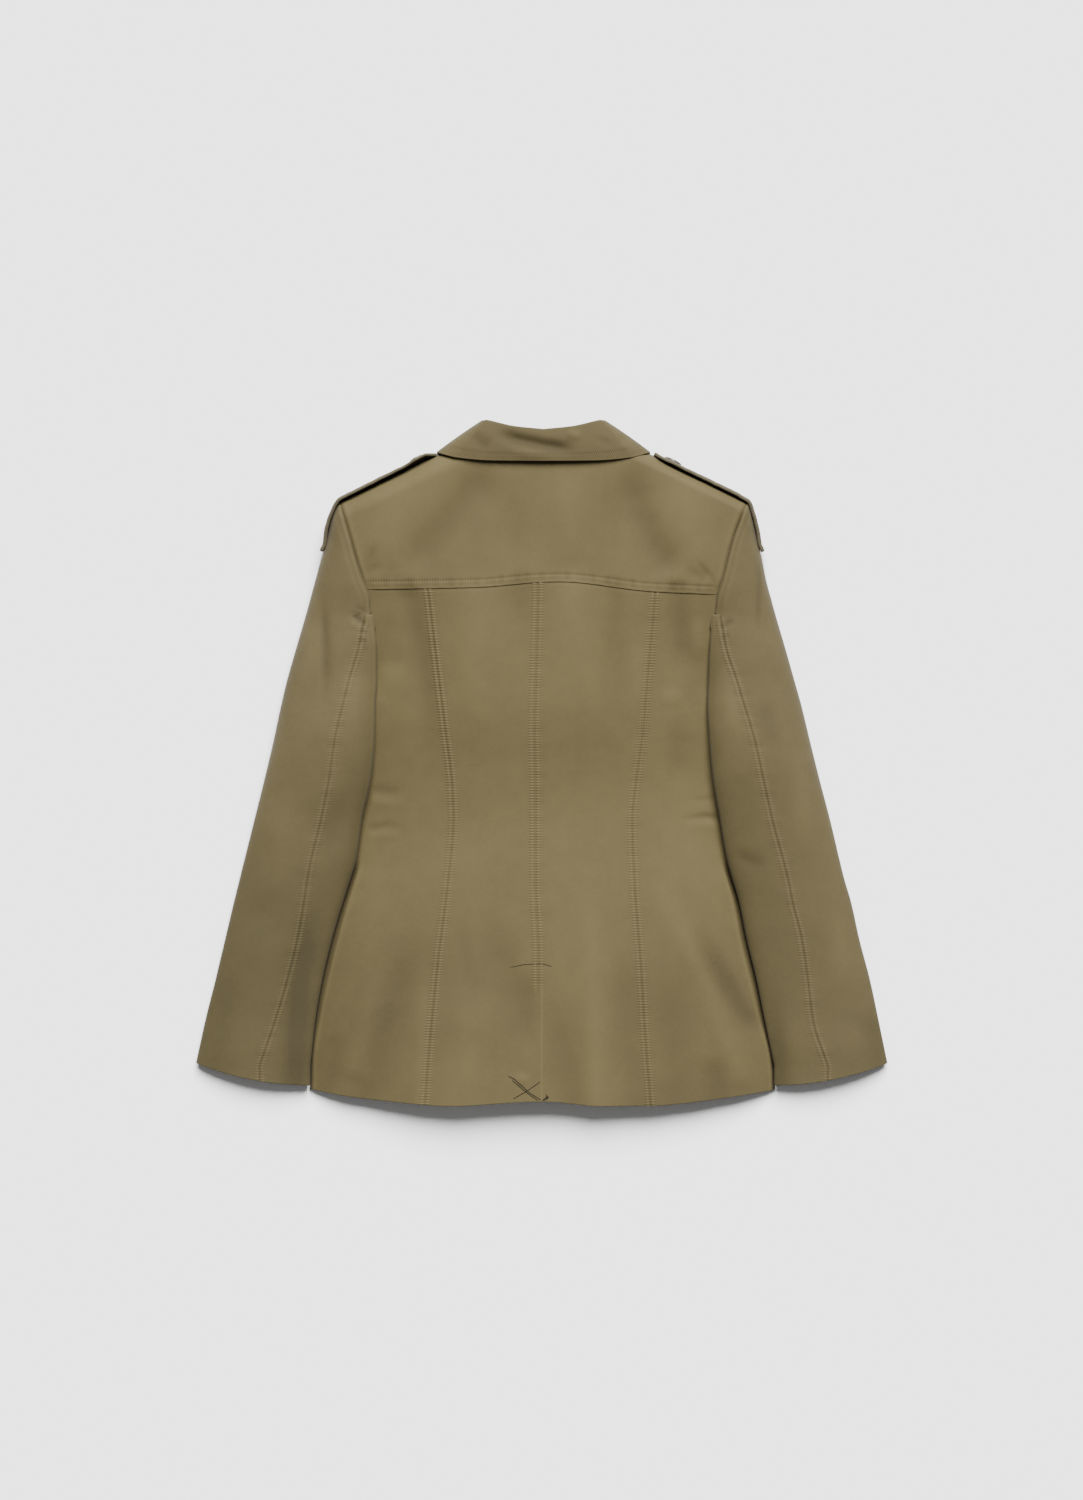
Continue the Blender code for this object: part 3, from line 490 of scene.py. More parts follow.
bodyForm = {
    "y":           (-345, -297, -257, -217, -177, -137, -120, -100, -66, -36, 14, 48, 60,
                    66, 76, 92, 115, 140, 163, 183, 223, 250, 263),
    "left":        (-232.5, -232, -227.3, -220.3, -210.8, -199.3, -194, -188, -184.5, -185, -197, -211, -216,
                    -208, -197, -186, -176.5, -171.8, -170.5, -178, -189.5, -197.5, -201.5),
    "right":       (234.8, 233, 224, 215.8, 206.3, 198.5, 193.8, 188.3, 185.5, 187, 201, 215, 220,
                    212, 201, 190, 180, 175.5, 174, 180, 190, 200, 206),
    "crown":       (36, 35, 34.5, 34, 33, 31.5, 31, 30, 29, 30, 35, 39, 40,
                    40.5, 41, 42, 43, 44, 45, 45.5, 46, 46, 46),
    "rim":         (2.2, 2.2, 2.2, 2.2, 2.2, 2.2, 2.2, 2.2, 2.2, 2.2, 2.2, 2.5, 3.5,
                    6, 10, 16, 24, 30, 34, 37, 39, 39, 39),
    "round":       (1.9, 1.9, 1.9, 1.9, 1.9, 1.85, 1.8, 1.7, 1.6, 1.5, 1.45, 1.4, 1.35,
                    1.3, 1.25, 1.2, 1.1, 1.0, 1.0, 1.0, 1.0, 1.0, 1.0),
    "frontLeft":   (-232.5, -232, -227.3, -220.3, -210.8, -199.3, -194, -188, -184.5, -185, -197, -211, -216,
                    -203, -190, -178, -168, -164, -163, -165, -178, -192, -201.5),
    "frontRight":  (234.8, 233, 224, 215.8, 206.3, 198.5, 193.8, 188.3, 185.5, 187, 201, 215, 220,
                    207, 194, 182, 172, 168, 167, 169, 182, 196, 206),
}
backTopLine = {
    "x": (-201.5, -106.5, -70, -67, -54, -30, 0, 30, 54, 67, 70, 110.5, 206),
    "y": (263, 307.8, 325, 325.5, 318, 313, 311.5, 313, 318, 328.5, 328, 308.4, 262),
}
frontTopLine = {
    "x": (-201.5, -106.5, -70, -67, -58, -44, -22, 0, 22, 44, 58, 67, 70, 110.5, 206),
    "y": (263, 307.8, 325, 324, 300, 274, 255, 250, 255, 274, 300, 327, 328, 308.4, 262),
}
hemLine = {
    "x": (-230, -192, -160, -92, 0, 60, 110, 165, 234),
    "y": (-326.5, -333, -336.5, -341.5, -337, -341.5, -341.5, -336.5, -327),
}
yokeSeam = {
    "x": (-170, -62, 0, 18, 108, 175),
    "y": (173.5, 175.5, 180.5, 181, 171.5, 168.5),
}
longSeams = {
    "y":      (-345, -277, -197, -117, -57, -27, 33, 113, 173),
    "center": (-0.5, -0.5, -0.5, -3.5, -3.5, -3.5, -4.5, -2.5, -1),
    "left":   (-117, -111.5, -103.5, -93.5, -88.5, -89.5, -96.5, -106.5, -113.5),
    "right":  (109, 103.5, 98.5, 92.5, 90.5, 93.5, 101.5, 108.5, 113.5),
}
bodyShape = {
    "fullness": 2.2,
    "rollLeft": 21.0,
    "rollRight": 14.0,
    "shoulderSeamZ": 20.0,
    "slopeLeft": 0.4717,
    "slopeRight": 0.4857,
    "frontRoll": 18.0,
    "channelZ": 3.5,
    "neckLift": 4.8,
    "overlapLift": 2.1,
    "overlapHalf": 14.0,
    "neckHalf": 68,
    "ventTop": -200.0,
    "ventWidth": 31.0,
    "underlapGap": 2.6,
    "seamGap": 0.06,
}
bodyFolds = (  # broad ones, in the body's own form
    {"line": ((-45, 298), (-76, 262), (-104, 226), (-138, 186)), "half": 19, "depth": -3.4, "tone": -0.6,
     "fade": (0.25, 0.25)},
    {"line": ((84, 300), (98, 246), (114, 212), (136, 182)), "half": 17, "depth": -3.4, "tone": -0.75,
     "fade": (0.3, 0.2)},
    {"line": ((-26, 288), (-30, 186)), "half": 14, "depth": -1.2, "tone": -0.22},
    {"line": ((26, 300), (28, 186)), "half": 17, "depth": 1.8, "tone": 0.28},
    {"line": ((68, 290), (72, 186)), "half": 11, "depth": -1.0, "tone": -0.18},
    {"line": ((-146, 256), (-150, 224)), "half": 24, "depth": 1.2, "tone": 0.3, "fade": (0, 0)},
    {"line": ((146, 256), (156, 214)), "half": 24, "depth": 1.2, "tone": 0.25, "fade": (0, 0)},
    {"line": ((-66, 196), (-70, 90), (-64, 0)), "half": 16, "depth": 1.8, "tone": 0.3, "fade": (0.2, 0.5)},
    {"line": ((-136, 186), (-120, 110), (-113, 50), (-110, -40)), "half": 12, "depth": -2.2, "tone": -0.5,
     "fade": (0.1, 0.5)},
    {"line": ((-21, 198), (-22, 90)), "half": 14, "depth": -1.6, "tone": -0.42, "fade": (0.25, 0.7)},
    {"line": ((30, 198), (34, 60)), "half": 15, "depth": 1.8, "tone": 0.36, "fade": (0.25, 0.7)},
    {"line": ((72, 198), (70, 30)), "half": 11, "depth": -1.6, "tone": -0.42, "fade": (0.2, 0.5)},
    {"line": ((100, 140), (95, 30)), "half": 10, "depth": 1.0, "tone": 0.2},
    {"line": ((131, 188), (145, 80)), "half": 11, "depth": -2.2, "tone": -0.6, "fade": (0.15, 0.35)},
    {"line": ((136, 52), (138, -30)), "half": 14, "depth": -1.2, "tone": -0.35},
    {"line": ((-60, -220), (-86, -345)), "half": 24, "depth": 2.6, "tone": 0.3, "fade": (0.4, 0)},
    {"line": ((-117, -190), (-122, -345)), "half": 7, "depth": 1.0, "tone": 0.35, "fade": (0.4, 0)},
    {"line": ((-66, -140), (-34, -215), (-30, -280)), "half": 16, "depth": -1.2, "tone": -0.3,
     "fade": (0.4, 0.4)},
    {"line": ((-124, -130), (-146, -230), (-178, -345)), "half": 20, "depth": -2.4, "tone": -0.42,
     "fade": (0.4, 0)},
    {"line": ((-14, -200), (-20, -300)), "half": 10, "depth": -1.6, "tone": -0.35},
    {"line": ((14, -225), (30, -345)), "half": 17, "depth": -2.0, "tone": -0.55, "fade": (0.5, 0)},
    {"line": ((46, -90), (50, -200), (54, -345)), "half": 11, "depth": 1.6, "tone": 0.3, "fade": (0.5, 0)},
    {"line": ((80, -180), (94, -345)), "half": 17, "depth": -1.8, "tone": -0.55, "fade": (0.4, 0)},
    {"line": ((126, -210), (132, -345)), "half": 18, "depth": -2.6, "tone": -0.5, "fade": (0.4, 0)},
    {"line": ((150, -160), (184, -220), (222, -276)), "half": 11, "depth": -2.6, "tone": -0.75,
     "fade": (0.4, 0.2)},
    {"line": ((110, -110), (158, -205), (206, -335)), "half": 13, "depth": 1.9, "tone": 0.4,
     "fade": (0.3, 0.1)},
    {"line": ((172, -290), (176, -345)), "half": 14, "depth": -1.6, "tone": -0.5, "fade": (0.4, 0)},
    {"line": ((-162, -200), (-190, -320)), "half": 12, "depth": 1.4, "tone": 0.3, "fade": (0.4, 0.1)},
    {"line": ((-206, -262), (-214, -325)), "half": 10, "depth": -1.2, "tone": -0.4, "fade": (0.4, 0)},
)
smallFolds = (  # creases too fine for the body's plain form
    {"line": ((-172, -26), (-152, -29), (-128, -24)), "half": 5, "depth": -0.6, "tone": -0.35,
     "fade": (0.1, 0.6)},
    {"line": ((-174, -38), (-150, -40), (-130, -38)), "half": 5, "depth": 0.5, "tone": 0.25,
     "fade": (0.1, 0.6)},
    {"line": ((-176, -66), (-154, -62), (-136, -64)), "half": 3.6, "depth": -0.6, "tone": -0.4,
     "fade": (0.1, 0.6)},
    {"line": ((-178, -74), (-154, -72), (-132, -74)), "half": 5, "depth": 0.45, "tone": 0.2,
     "fade": (0.1, 0.6)},
    {"line": ((182, -55), (164, -53), (134, -56)), "half": 3.2, "depth": -1.2, "tone": -0.9,
     "fade": (0.05, 0.7)},
    {"line": ((182, -62), (160, -62), (140, -64)), "half": 5, "depth": 0.5, "tone": 0.2, "fade": (0.1, 0.6)},
    {"line": ((178, -34), (160, -37), (146, -34)), "half": 3.4, "depth": -0.5, "tone": -0.3,
     "fade": (0.1, 0.6)},
    {"line": ((-80, -150), (-76, -232)), "half": 7, "depth": -0.7, "tone": -0.16},
    {"line": ((-152, 104), (-150, 66)), "half": 13, "depth": 1.0, "tone": 0.35},
    {"line": ((158, 150), (156, 100)), "half": 9, "depth": 1.0, "tone": 0.4},
    {"line": ((142, 72), (116, 60)), "half": 9, "depth": 0.8, "tone": 0.35},
    {"line": ((-166, 222), (-174, 196), (-178, 186)), "half": 4, "depth": -0.9, "tone": -0.5,
     "fade": (0.4, 0.1)},
    {"line": ((-158, 200), (-174, 189)), "half": 3, "depth": -0.8, "tone": -0.5, "fade": (0.6, 0.05)},
    {"line": ((150, 206), (174, 180)), "half": 2.6, "depth": -0.9, "tone": -0.55, "fade": (0.6, 0.05)},
    {"line": ((138, 196), (168, 182)), "half": 6, "depth": -0.9, "tone": -0.4, "fade": (0.5, 0.1)},
    {"line": ((-30, -312), (-10, -318)), "half": 5, "depth": 0.9, "tone": 0.35},
)


def bodyArch(x, y, room=0.0):
    left = through(bodyForm, "y", "left", y)
    right = through(bodyForm, "y", "right", y)
    crown = through(bodyForm, "y", "crown", y)
    rim = through(bodyForm, "y", "rim", y)
    share = np.abs(x - (left + right) / 2) / ((right - left) / 2 + room)
    arch = (1 - np.clip(share, 0, 1) ** bodyShape["fullness"]) ** (1 / through(bodyForm, "y", "round", y))
    return share, rim + (crown - rim) * arch


def calmArch(x, y):  # the same arch without the small steps that its table leaves along the body
    share, z = bodyArch(x, y)
    soft = 0.0
    for shift, weight in ((-27, 0.1), (-18, 0.15), (-9, 0.16), (0, 0.18), (9, 0.16), (18, 0.15), (27, 0.1)):
        soft = soft + weight * bodyArch(x, y + shift)[1]
    return share, z + (soft - z) * (1 - ease(share, 0.62, 0.92))


def insideShoulder(x, y):
    left = backTopLine["y"][0] + (x - backTopLine["x"][0]) * bodyShape["slopeLeft"]
    right = backTopLine["y"][-1] + (backTopLine["x"][-1] - x) * bodyShape["slopeRight"]
    line = np.minimum(left, right) + 60 * ease(bodyShape["neckHalf"] - np.abs(x), 0, 14)
    return (line - y) * 0.9


def backForm(x, y):  # smooth upper face of the back
    share, z = calmArch(x, y)
    z = z + foldSum(bodyFolds, x, y)[0] * (1 - ease(share, 0.86, 1))
    wide = bodyShape["rollLeft"] + (bodyShape["rollRight"] - bodyShape["rollLeft"]) * ease(x, -60, 60)
    roll = quarterRound(insideShoulder(x, y) / wide)
    return bodyShape["shoulderSeamZ"] + (z - bodyShape["shoulderSeamZ"]) * roll


def centerSeam(y):
    return through(longSeams, "y", "center", y)


def princessLeft(y):
    return through(longSeams, "y", "left", y)


def princessRight(y):
    return through(longSeams, "y", "right", y)


def sideLeft(y):
    return through(bodyForm, "y", "left", y)


def sideRight(y):
    return through(bodyForm, "y", "right", y)


# each long seam is felled: raised lines with the stitch rows on them, a painted highlight on the ridges and
# painted shade in the groove
seamRidge = {"height": 0.6, "half": 1.4, "tone": 0.55}
seamStyles = (
    {"seam": centerSeam, "rows": (-6.2, 0.2), "groove": -3.0, "seed": 11},
    {"seam": princessLeft, "rows": (-2.7, 2.5), "groove": -0.1, "seed": 12},
    {"seam": princessRight, "rows": (-2.5, 2.7), "groove": 0.1, "seed": 13},
)
sideEdge = {
    "inset": 7.0, "lowInset": 3.6, "height": 0.6, "half": 1.6, "top": -90.0, "tone": 0.5, "underShade": -1.6,
}
# the tones below paint a shadow just below the yoke's lower edge, darker towards its ends
yokeEdge = {
    "lift": 0.6, "liftReach": 22.0, "row": 7.6, "dip": 0.3, "tone": -0.2, "endShadow": -0.25, "seed": 21,
}
bodyShade = {  # how far painted fold shade and random clouds colour the cloth, with painted shade darker low down and towards the sides
    "folds": 0.8, "creases": 0.7, "clouds": 0.07, "shadeLow": 0.22, "shadeLowSides": 0.3,
}


def seamRelief(x, y):
    height = np.zeros(np.broadcast(x, y).shape)
    tone = np.zeros(height.shape)
    away = np.full(height.shape, 60.0)
    for style in seamStyles:
        d = x - style["seam"](y)
        length = 1.0
        if style["seam"] is centerSeam:  # the vent's fold has one edge and no stitch rows
            length = ease(y, bodyShape["ventTop"] - 34, bodyShape["ventTop"] - 20)
        for row in style["rows"]:
            keep = 1.0 if row > 0 else length
            ridge = bell(d - row, seamRidge["half"]) * keep
            height = height + seamRidge["height"] * ridge
            tone = tone + seamRidge["tone"] * ridge
            away = np.minimum(away, np.abs(d - row) + 30 * (1 - length))
        height = height - 0.2 * bell(d - style["groove"], 1.1) * length
        # painted shade in the groove and beside the seam, and painted shade and highlight on the drawn-up
        # ripples
        tone = tone - (0.22 * bell(d - style["groove"], 1.0) + 0.1 * bell(d, 9.0)) * length
        draw = ripple(y, 9.0, style["seed"]) * 0.1 + ripple(y, 23.0, style["seed"] + 50) * 0.12
        height = height + draw * bell(d, 7.0) * length
        tone = tone + draw * 0.5 * bell(d, 7.0) * length
    inset = sideEdge["inset"] + (sideEdge["lowInset"] - sideEdge["inset"]) * ease(-y, 190, 320)
    low = 1 - ease(y, sideEdge["top"] - 24, sideEdge["top"])
    for d in (x - sideLeft(y), sideRight(y) - x):  # edge of the felled side seam, with a painted highlight on its ridge and painted shade where it turns under
        ridge = bell(d - inset - 0.8, sideEdge["half"]) * low
        height = height + sideEdge["height"] * ridge
        under = (1 - ease(d, inset - 3.0, inset)) * low
        tone = tone + sideEdge["tone"] * ridge + sideEdge["underShade"] * under
    return height, tone, away


def backTop(x, y, yoke=False):  # finished upper face, and the masks that its cloth reads: painted shade with random tone, and distance from the stitch rows
    share, _ = bodyArch(x, y)
    calm = 1 - ease(share, 0.9, 1)
    small, smallTone = foldSum(smallFolds, x, y)
    fine = small + unevenness(x, y, 95, 3) * 0.3
    z = backForm(x, y) + fine * calm
    tone = foldSum(bodyFolds, x, y)[1] * bodyShade["folds"] + smallTone * bodyShade["creases"]
    tone = tone + unevenness(x, y, 130, 4) * bodyShade["clouds"]
    # painted shade: darker low down, and more so towards the sides
    low = ease(-y, 60, 250)
    tone = tone - low * (bodyShade["shadeLow"] + bodyShade["shadeLowSides"] * ease(np.abs(x), 60, 165))
    away = np.full(z.shape, 60.0)
    if not yoke:
        relief, ridgeTone, away = seamRelief(x, y)
        z = z + relief * (1 - ease(share, 0.975, 1))
        tone = tone + ridgeTone
        below = through(yokeSeam, "x", "y", x) - y
        ends = ease(np.abs(x), 90, 140)
        z = z - yokeEdge["dip"] * (1 - ease(below, -0.5, 3.5))
        # painted shadow just below the yoke's edge, darker towards its ends
        tone = tone + (yokeEdge["tone"] + yokeEdge["endShadow"] * ends) * bell(below - 1.2, 1.3)
    return z, np.clip(tone, -1.3, 1.3), away


# back panels

closeSteps = np.array((0, 0.35, 0.8, 1.3, 1.9, 2.6, 3.3, 4.0, 4.8, 5.6, 6.3, 7.0, 7.9, 9.0, 10.5, 12.5, 15))
edgeSteps = np.array((0, 0.06, 0.25, 0.6, 1.1, 1.8, 2.8, 4.0, 5.5, 7.3, 9.5, 12, 15))
hemSteps = np.array((0, 0.5, 1.2, 2.2, 3.4, 5, 7, 9.4, 12, 15))
tuckSteps = np.array((-5, -3.2, -1.8, -0.8, 0, 0.6, 1.2, 1.9, 2.7, 3.6, 5, 7, 9.4, 12))


def rowY(x):  # x has a row for each line of the grid; gives each its height on the plan
    low = through(hemLine, "x", "y", x)
    high = through(yokeSeam, "x", "y", x)
    count = x.shape[0]
    near, far = len(hemSteps), len(tuckSteps)
    share = np.linspace(0, 1, count - near - far + 2)[1:-1]
    y = np.empty_like(x)
    y[:near] = low[:near] + hemSteps[:, None]
    y[-far:] = high[-far:] - tuckSteps[::-1][:, None]
    start = low[near:-far] + hemSteps[-1]
    y[near:-far] = start + (high[near:-far] - tuckSteps[-1] - start) * share[:, None]
    return y


def seamX(seam, count):
    x = np.zeros((count, 1))
    for _ in range(6):
        x = seam(rowY(x))
    return x


def backPanel(name, leftSeam, rightSeam, node):
    count = 236
    leftSteps = edgeSteps if leftSeam is sideLeft else closeSteps
    rightSteps = edgeSteps if rightSeam is sideRight else closeSteps
    left = seamX(leftSeam, count) + (0 if leftSeam is sideLeft else bodyShape["seamGap"])
    right = seamX(rightSeam, count) - (0 if rightSeam is sideRight else bodyShape["seamGap"])
    middle = np.linspace(0, 1, int(round(((right - left).mean() - 30) / 2.3)) + 2)[1:-1]
    start, stop = left + leftSteps[-1], right - rightSteps[-1]
    x = np.concatenate([left + leftSteps[None, :], start + (stop - start) * middle[None, :],
                        right - rightSteps[None, ::-1]], axis=1)
    y = rowY(x)
    z, paintedShadeAndTone, away = backTop(x, y)
    item = clothShell(name, np.stack([x, y, z], 2), bodyCloth, paintedShadeAndTone, away, y, flip=True)
    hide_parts(node)
    return item


print("back panels")
backPieces = [
    backPanel("backCenterLeft", princessLeft, centerSeam, "back_center_left"),
    backPanel("backCenterRight", centerSeam, princessRight, "back_center_right"),
    backPanel("backSideLeft", sideLeft, princessLeft, "back_side_left"),
    backPanel("backSideRight", princessRight, sideRight, "back_side_right"),
]


def ventUnderlap():
    rise = np.linspace(0, 1, 50)[:, None]
    x = np.broadcast_to(np.linspace(-bodyShape["ventWidth"], -1.2, 14)[None, :], (50, 14))
    y = (through(hemLine, "x", "y", x) + 1.0) * (1 - rise) + bodyShape["ventTop"] * rise
    z = backForm(x, y) - bodyShape["underlapGap"]
    item = clothShell("ventUnderlap", np.stack([x, y, z], 2), bodyCloth, flip=True)
    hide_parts("vent_underlap")
    return item


ventPiece = ventUnderlap()

# yoke


def yokeRelief(x, up):  # lift of the edge, its drawn-up ripples and the groove of the stitch row
    row = yokeEdge["row"]
    lift = yokeEdge["lift"] * (1 - ease(up, 0, yokeEdge["liftReach"]))
    draw = ripple(x, 13.0, yokeEdge["seed"]) * 0.2 + ripple(x, 5.5, yokeEdge["seed"] + 1) * 0.07
    band = ease(up, 0, 1.5) * (1 - ease(up, row - 1.5, row + 5))
    groove = -0.34 * bell(up - row, 1.1) + 0.16 * bell(up - row + 2.6, 1.8)
    return lift, draw * band, groove


yokeCorners = {"topLeft": 201.2, "topRight": 205.7, "lowLeft": 170.6, "lowRight": 174.0}  # from the middle


def buildYoke():
    near = np.array((0, 0.4, 1, 1.8, 2.8, 4, 5.5, 7.5, 10, 13)) / 185
    across = np.concatenate([-1 + near, np.linspace(-1, 1, 168)[7:-7], 1 - near[::-1]])
    low = np.array((0, 0.35, 0.8, 1.4, 2.2, 3.2, 4.4, 5.5, 6.4, 7.1, 7.6, 8.1, 8.8, 9.8, 11.5, 14))
    topX = np.where(across < 0, yokeCorners["topLeft"], yokeCorners["topRight"]) * across
    lowX = np.where(across < 0, yokeCorners["lowLeft"], yokeCorners["lowRight"]) * across
    topY = through(backTopLine, "x", "y", topX)[None, :]
    lowY = through(yokeSeam, "x", "y", lowX)[None, :]
    share = (1 - (1 - np.linspace(0, 1, 62)[1:]) ** 1.8)[:, None]
    y = np.concatenate([lowY + low[:, None], lowY + low[-1] + (topY - lowY - low[-1]) * share])
    edgeLeft = -sideLeft(y[:, :1]) - 0.1
    edgeRight = sideRight(y[:, -1:]) - 0.1
    x = np.where(across[None, :] < 0, edgeLeft, edgeRight) * across[None, :]
    z, paintedShadeAndTone, _ = backTop(x, y, yoke=True)
    up = y - lowY
    sides = 1 - ease(np.abs(across), 0.93, 1)[None, :]
    lift, drawn, groove = yokeRelief(x, up)
    armhole = np.minimum(x + edgeLeft, edgeRight - x)
    sink = -0.5 * bell(armhole, 1.2) + 0.4 * bell(armhole - 3.2, 2.2)
    z = z + (lift + drawn + groove) * sides + sink * ease(up, 2, 14)
    z[-1] = np.maximum(z[-1], bodyShape["shoulderSeamZ"] + 0.3)
    # painted shade and highlight: on the drawn-up ripples, a dark stitch row, a light lifted edge, a dark
    # line and a light ridge at the armhole, and darker ends
    paintedShadeAndTone = paintedShadeAndTone + drawn * 1.3 - 0.2 * bell(up - yokeEdge["row"], 1.1) + 0.3 * bell(up - 1.6, 1.3)
    ends = ease(np.abs(x), 90, 140) * bell(up - 10.5, 4.0)
    paintedShadeAndTone = paintedShadeAndTone - 0.4 * bell(armhole - 0.4, 1.2) + 0.2 * bell(armhole - 3.6, 1.4) - 0.15 * ends
    away = np.abs(up - yokeEdge["row"]) + 0 * x
    item = clothShell("backYoke", np.stack([x, y, z], 2), bodyCloth, paintedShadeAndTone, away, x, flip=True)
    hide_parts("yoke")
    return item


print("yoke")
yokePiece = buildYoke()

# fronts, under the jacket


def frontForm(x, y):
    channel = bodyShape["channelZ"] * (1 - ease(np.abs(x), 20, 40))
    fromNeck = np.hypot(np.maximum(np.abs(x) - 40, 0) * 0.9, np.maximum(268 - y, 0))
    z = np.maximum(channel, bodyShape["neckLift"] * (1 - ease(fromNeck, 50, 82)))
    roll = quarterRound(insideShoulder(x, y) / bodyShape["frontRoll"])
    return bodyShape["shoulderSeamZ"] + (z - bodyShape["shoulderSeamZ"]) * roll


def frontPanel(name, side, node):
    edge = "frontLeft" if side < 0 else "frontRight"
    share = np.concatenate([np.linspace(0, 0.9, 58)[:-1], 0.9 + 0.1 * closeToEnd(14)])
    rise = np.concatenate([np.linspace(0, 0.8, 110)[:-1], 0.8 + 0.2 * closeToEnd(40)])[:, None]
    cornerX, cornerY = bodyForm[edge][-1] - side * 0.3, bodyForm["y"][-1] - 0.3
    sideLow = through(hemLine, "x", "y", bodyForm[edge][0])
    edgeY = sideLow + (cornerY - sideLow) * rise
    edgeX = through(bodyForm, "y", edge, edgeY) - side * 0.15
    freeX = -side * bodyShape["overlapHalf"]
    x = freeX + (edgeX - freeX) * share[None, :]
    topX = freeX + (cornerX - freeX) * share
    y = through(hemLine, "x", "y", x) * (1 - rise) + through(frontTopLine, "x", "y", topX)[None, :] * rise
    z = frontForm(x, y)
    z[-1] = np.where(np.abs(topX) > 60, np.minimum(z[-1], bodyShape["shoulderSeamZ"] - 0.3), z[-1])
    if side < 0:
        start = -bodyShape["overlapHalf"]
        z = z + bodyShape["overlapLift"] * ease(x, start - 34, start - 6)
    item = clothShell(name, np.stack([x, y, z], 2), bodyCloth, wall=1.6, flip=side < 0)
    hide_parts(node)
    return item


print("fronts")
frontPieces = [frontPanel("frontLeft", -1, "front_left"), frontPanel("frontRight", 1, "front_right")]

# sleeves

sleeveForm = {
    "y":           (263, 253, 243, 223, 203, 183, 163, 152, 140, 113, 83, 60, 23, -17, -57,
                    -97, -117, -137, -177, -217, -257, -303),
    "outerLeft":   (-202, -207, -210.5, -215, -221, -226.5, -232, -235, -238.5, -246.5, -255, -260.5, -268.5,
                    -278, -288, -298, -303, -308, -317.5, -327, -337, -347),
    "outerRight":  (206.5, 209.3, 211.9, 216.3, 221, 225, 230.5, 233.5, 237, 245, 253.5, 260, 269,
                    279, 289.5, 299, 304, 310, 319, 329.5, 338, 347.5),
    "foldLeft":    (-201.5, -198.5, -195.5, -189.5, -184, -177.6, -170.4, -170, -167.2, -164.5, -164.5, -166,
                    -167, -171, -180, -185.8, -191.8, -198.2, -210, -219.6, -226.6, -231.6),
    "foldRight":   (206, 201, 197.5, 190, 184.5, 179.6, 173.9, 173.1, 169.7, 167.5, 166.5, 165.5, 167.5,
                    171.5, 178.5, 185.6, 191.2, 197.2, 205.5, 215.2, 223.4, 233),
    "seamLeft":    (-201.5, -198.5, -195.5, -189.5, -184, -178, -172, -174.5, -177, -182.5, -191.5, -197.5,
                    -206, -212, -220, -230, -234, -237, -244, -254, -266, -282),
    "seamRight":   (206, 201, 197.5, 190, 184.5, 180, 175, 177, 179, 184, 194, 201, 212,
                    221, 230, 241, 246, 250, 260, 266, 271, 286),
    "underLeft":   (-201.5, -198.5, -195.5, -189.5, -184, -178, -172, -173, -172.5, -177.5, -191, -216, -216,
                    -216, -220, -225, -228, -232, -240, -248, -255, -262),
    "underRight":  (206, 201, 197.5, 190, 184.5, 180, 174, 176, 176, 181, 195, 220, 220,
                    220, 222, 228, 231, 235, 243, 250, 258, 266),
    "edgeZ":       (20, 20, 19.5, 18.5, 17.5, 16.5, 15.5, 15, 14, 13, 12.5, 12, 11,
                    10, 9.5, 9, 8.5, 8, 7.5, 7.3, 7.2, 7.2),
    "rise":        (0, 0.7, 1.6, 3.1, 4.5, 5.9, 7.6, 8.4, 9.1, 10.6, 12.6, 14.2, 16.4,
                    17.5, 17, 16, 15.5, 15, 13.5, 12, 11, 10.5),
    "radius":      (2.5, 2.5, 2.5, 2.5, 2.5, 2.5, 2.5, 2.5, 2.6, 2.8, 3.2, 4, 5,
                    5, 5, 5.5, 5.5, 5.5, 6, 6, 6, 6),
    "drape":       (0, 0, 0, 0, 0, 0, 0, 4, 6, 6, 4, 2, 12,
                    14, 10, 5, 3, 1, 0.5, 0.5, 0.5, 0.5),
}
sleeveShape = {
    "capTop": 259.5,
    "underTop": 148.5,
    "cuffOuter": -300.0,
    "cuffInner": -322.0,
    "cuffBow": 5.0,
    "lowToneLeft": 0.6,
    "lowToneRight": 0.36,
    "seamRows": (-2.4, 3.0),
    "seamHeight": 0.4,
    "seamHalf": 1.5,
    "seamTop": 150,
    "armpitY": 60,
}
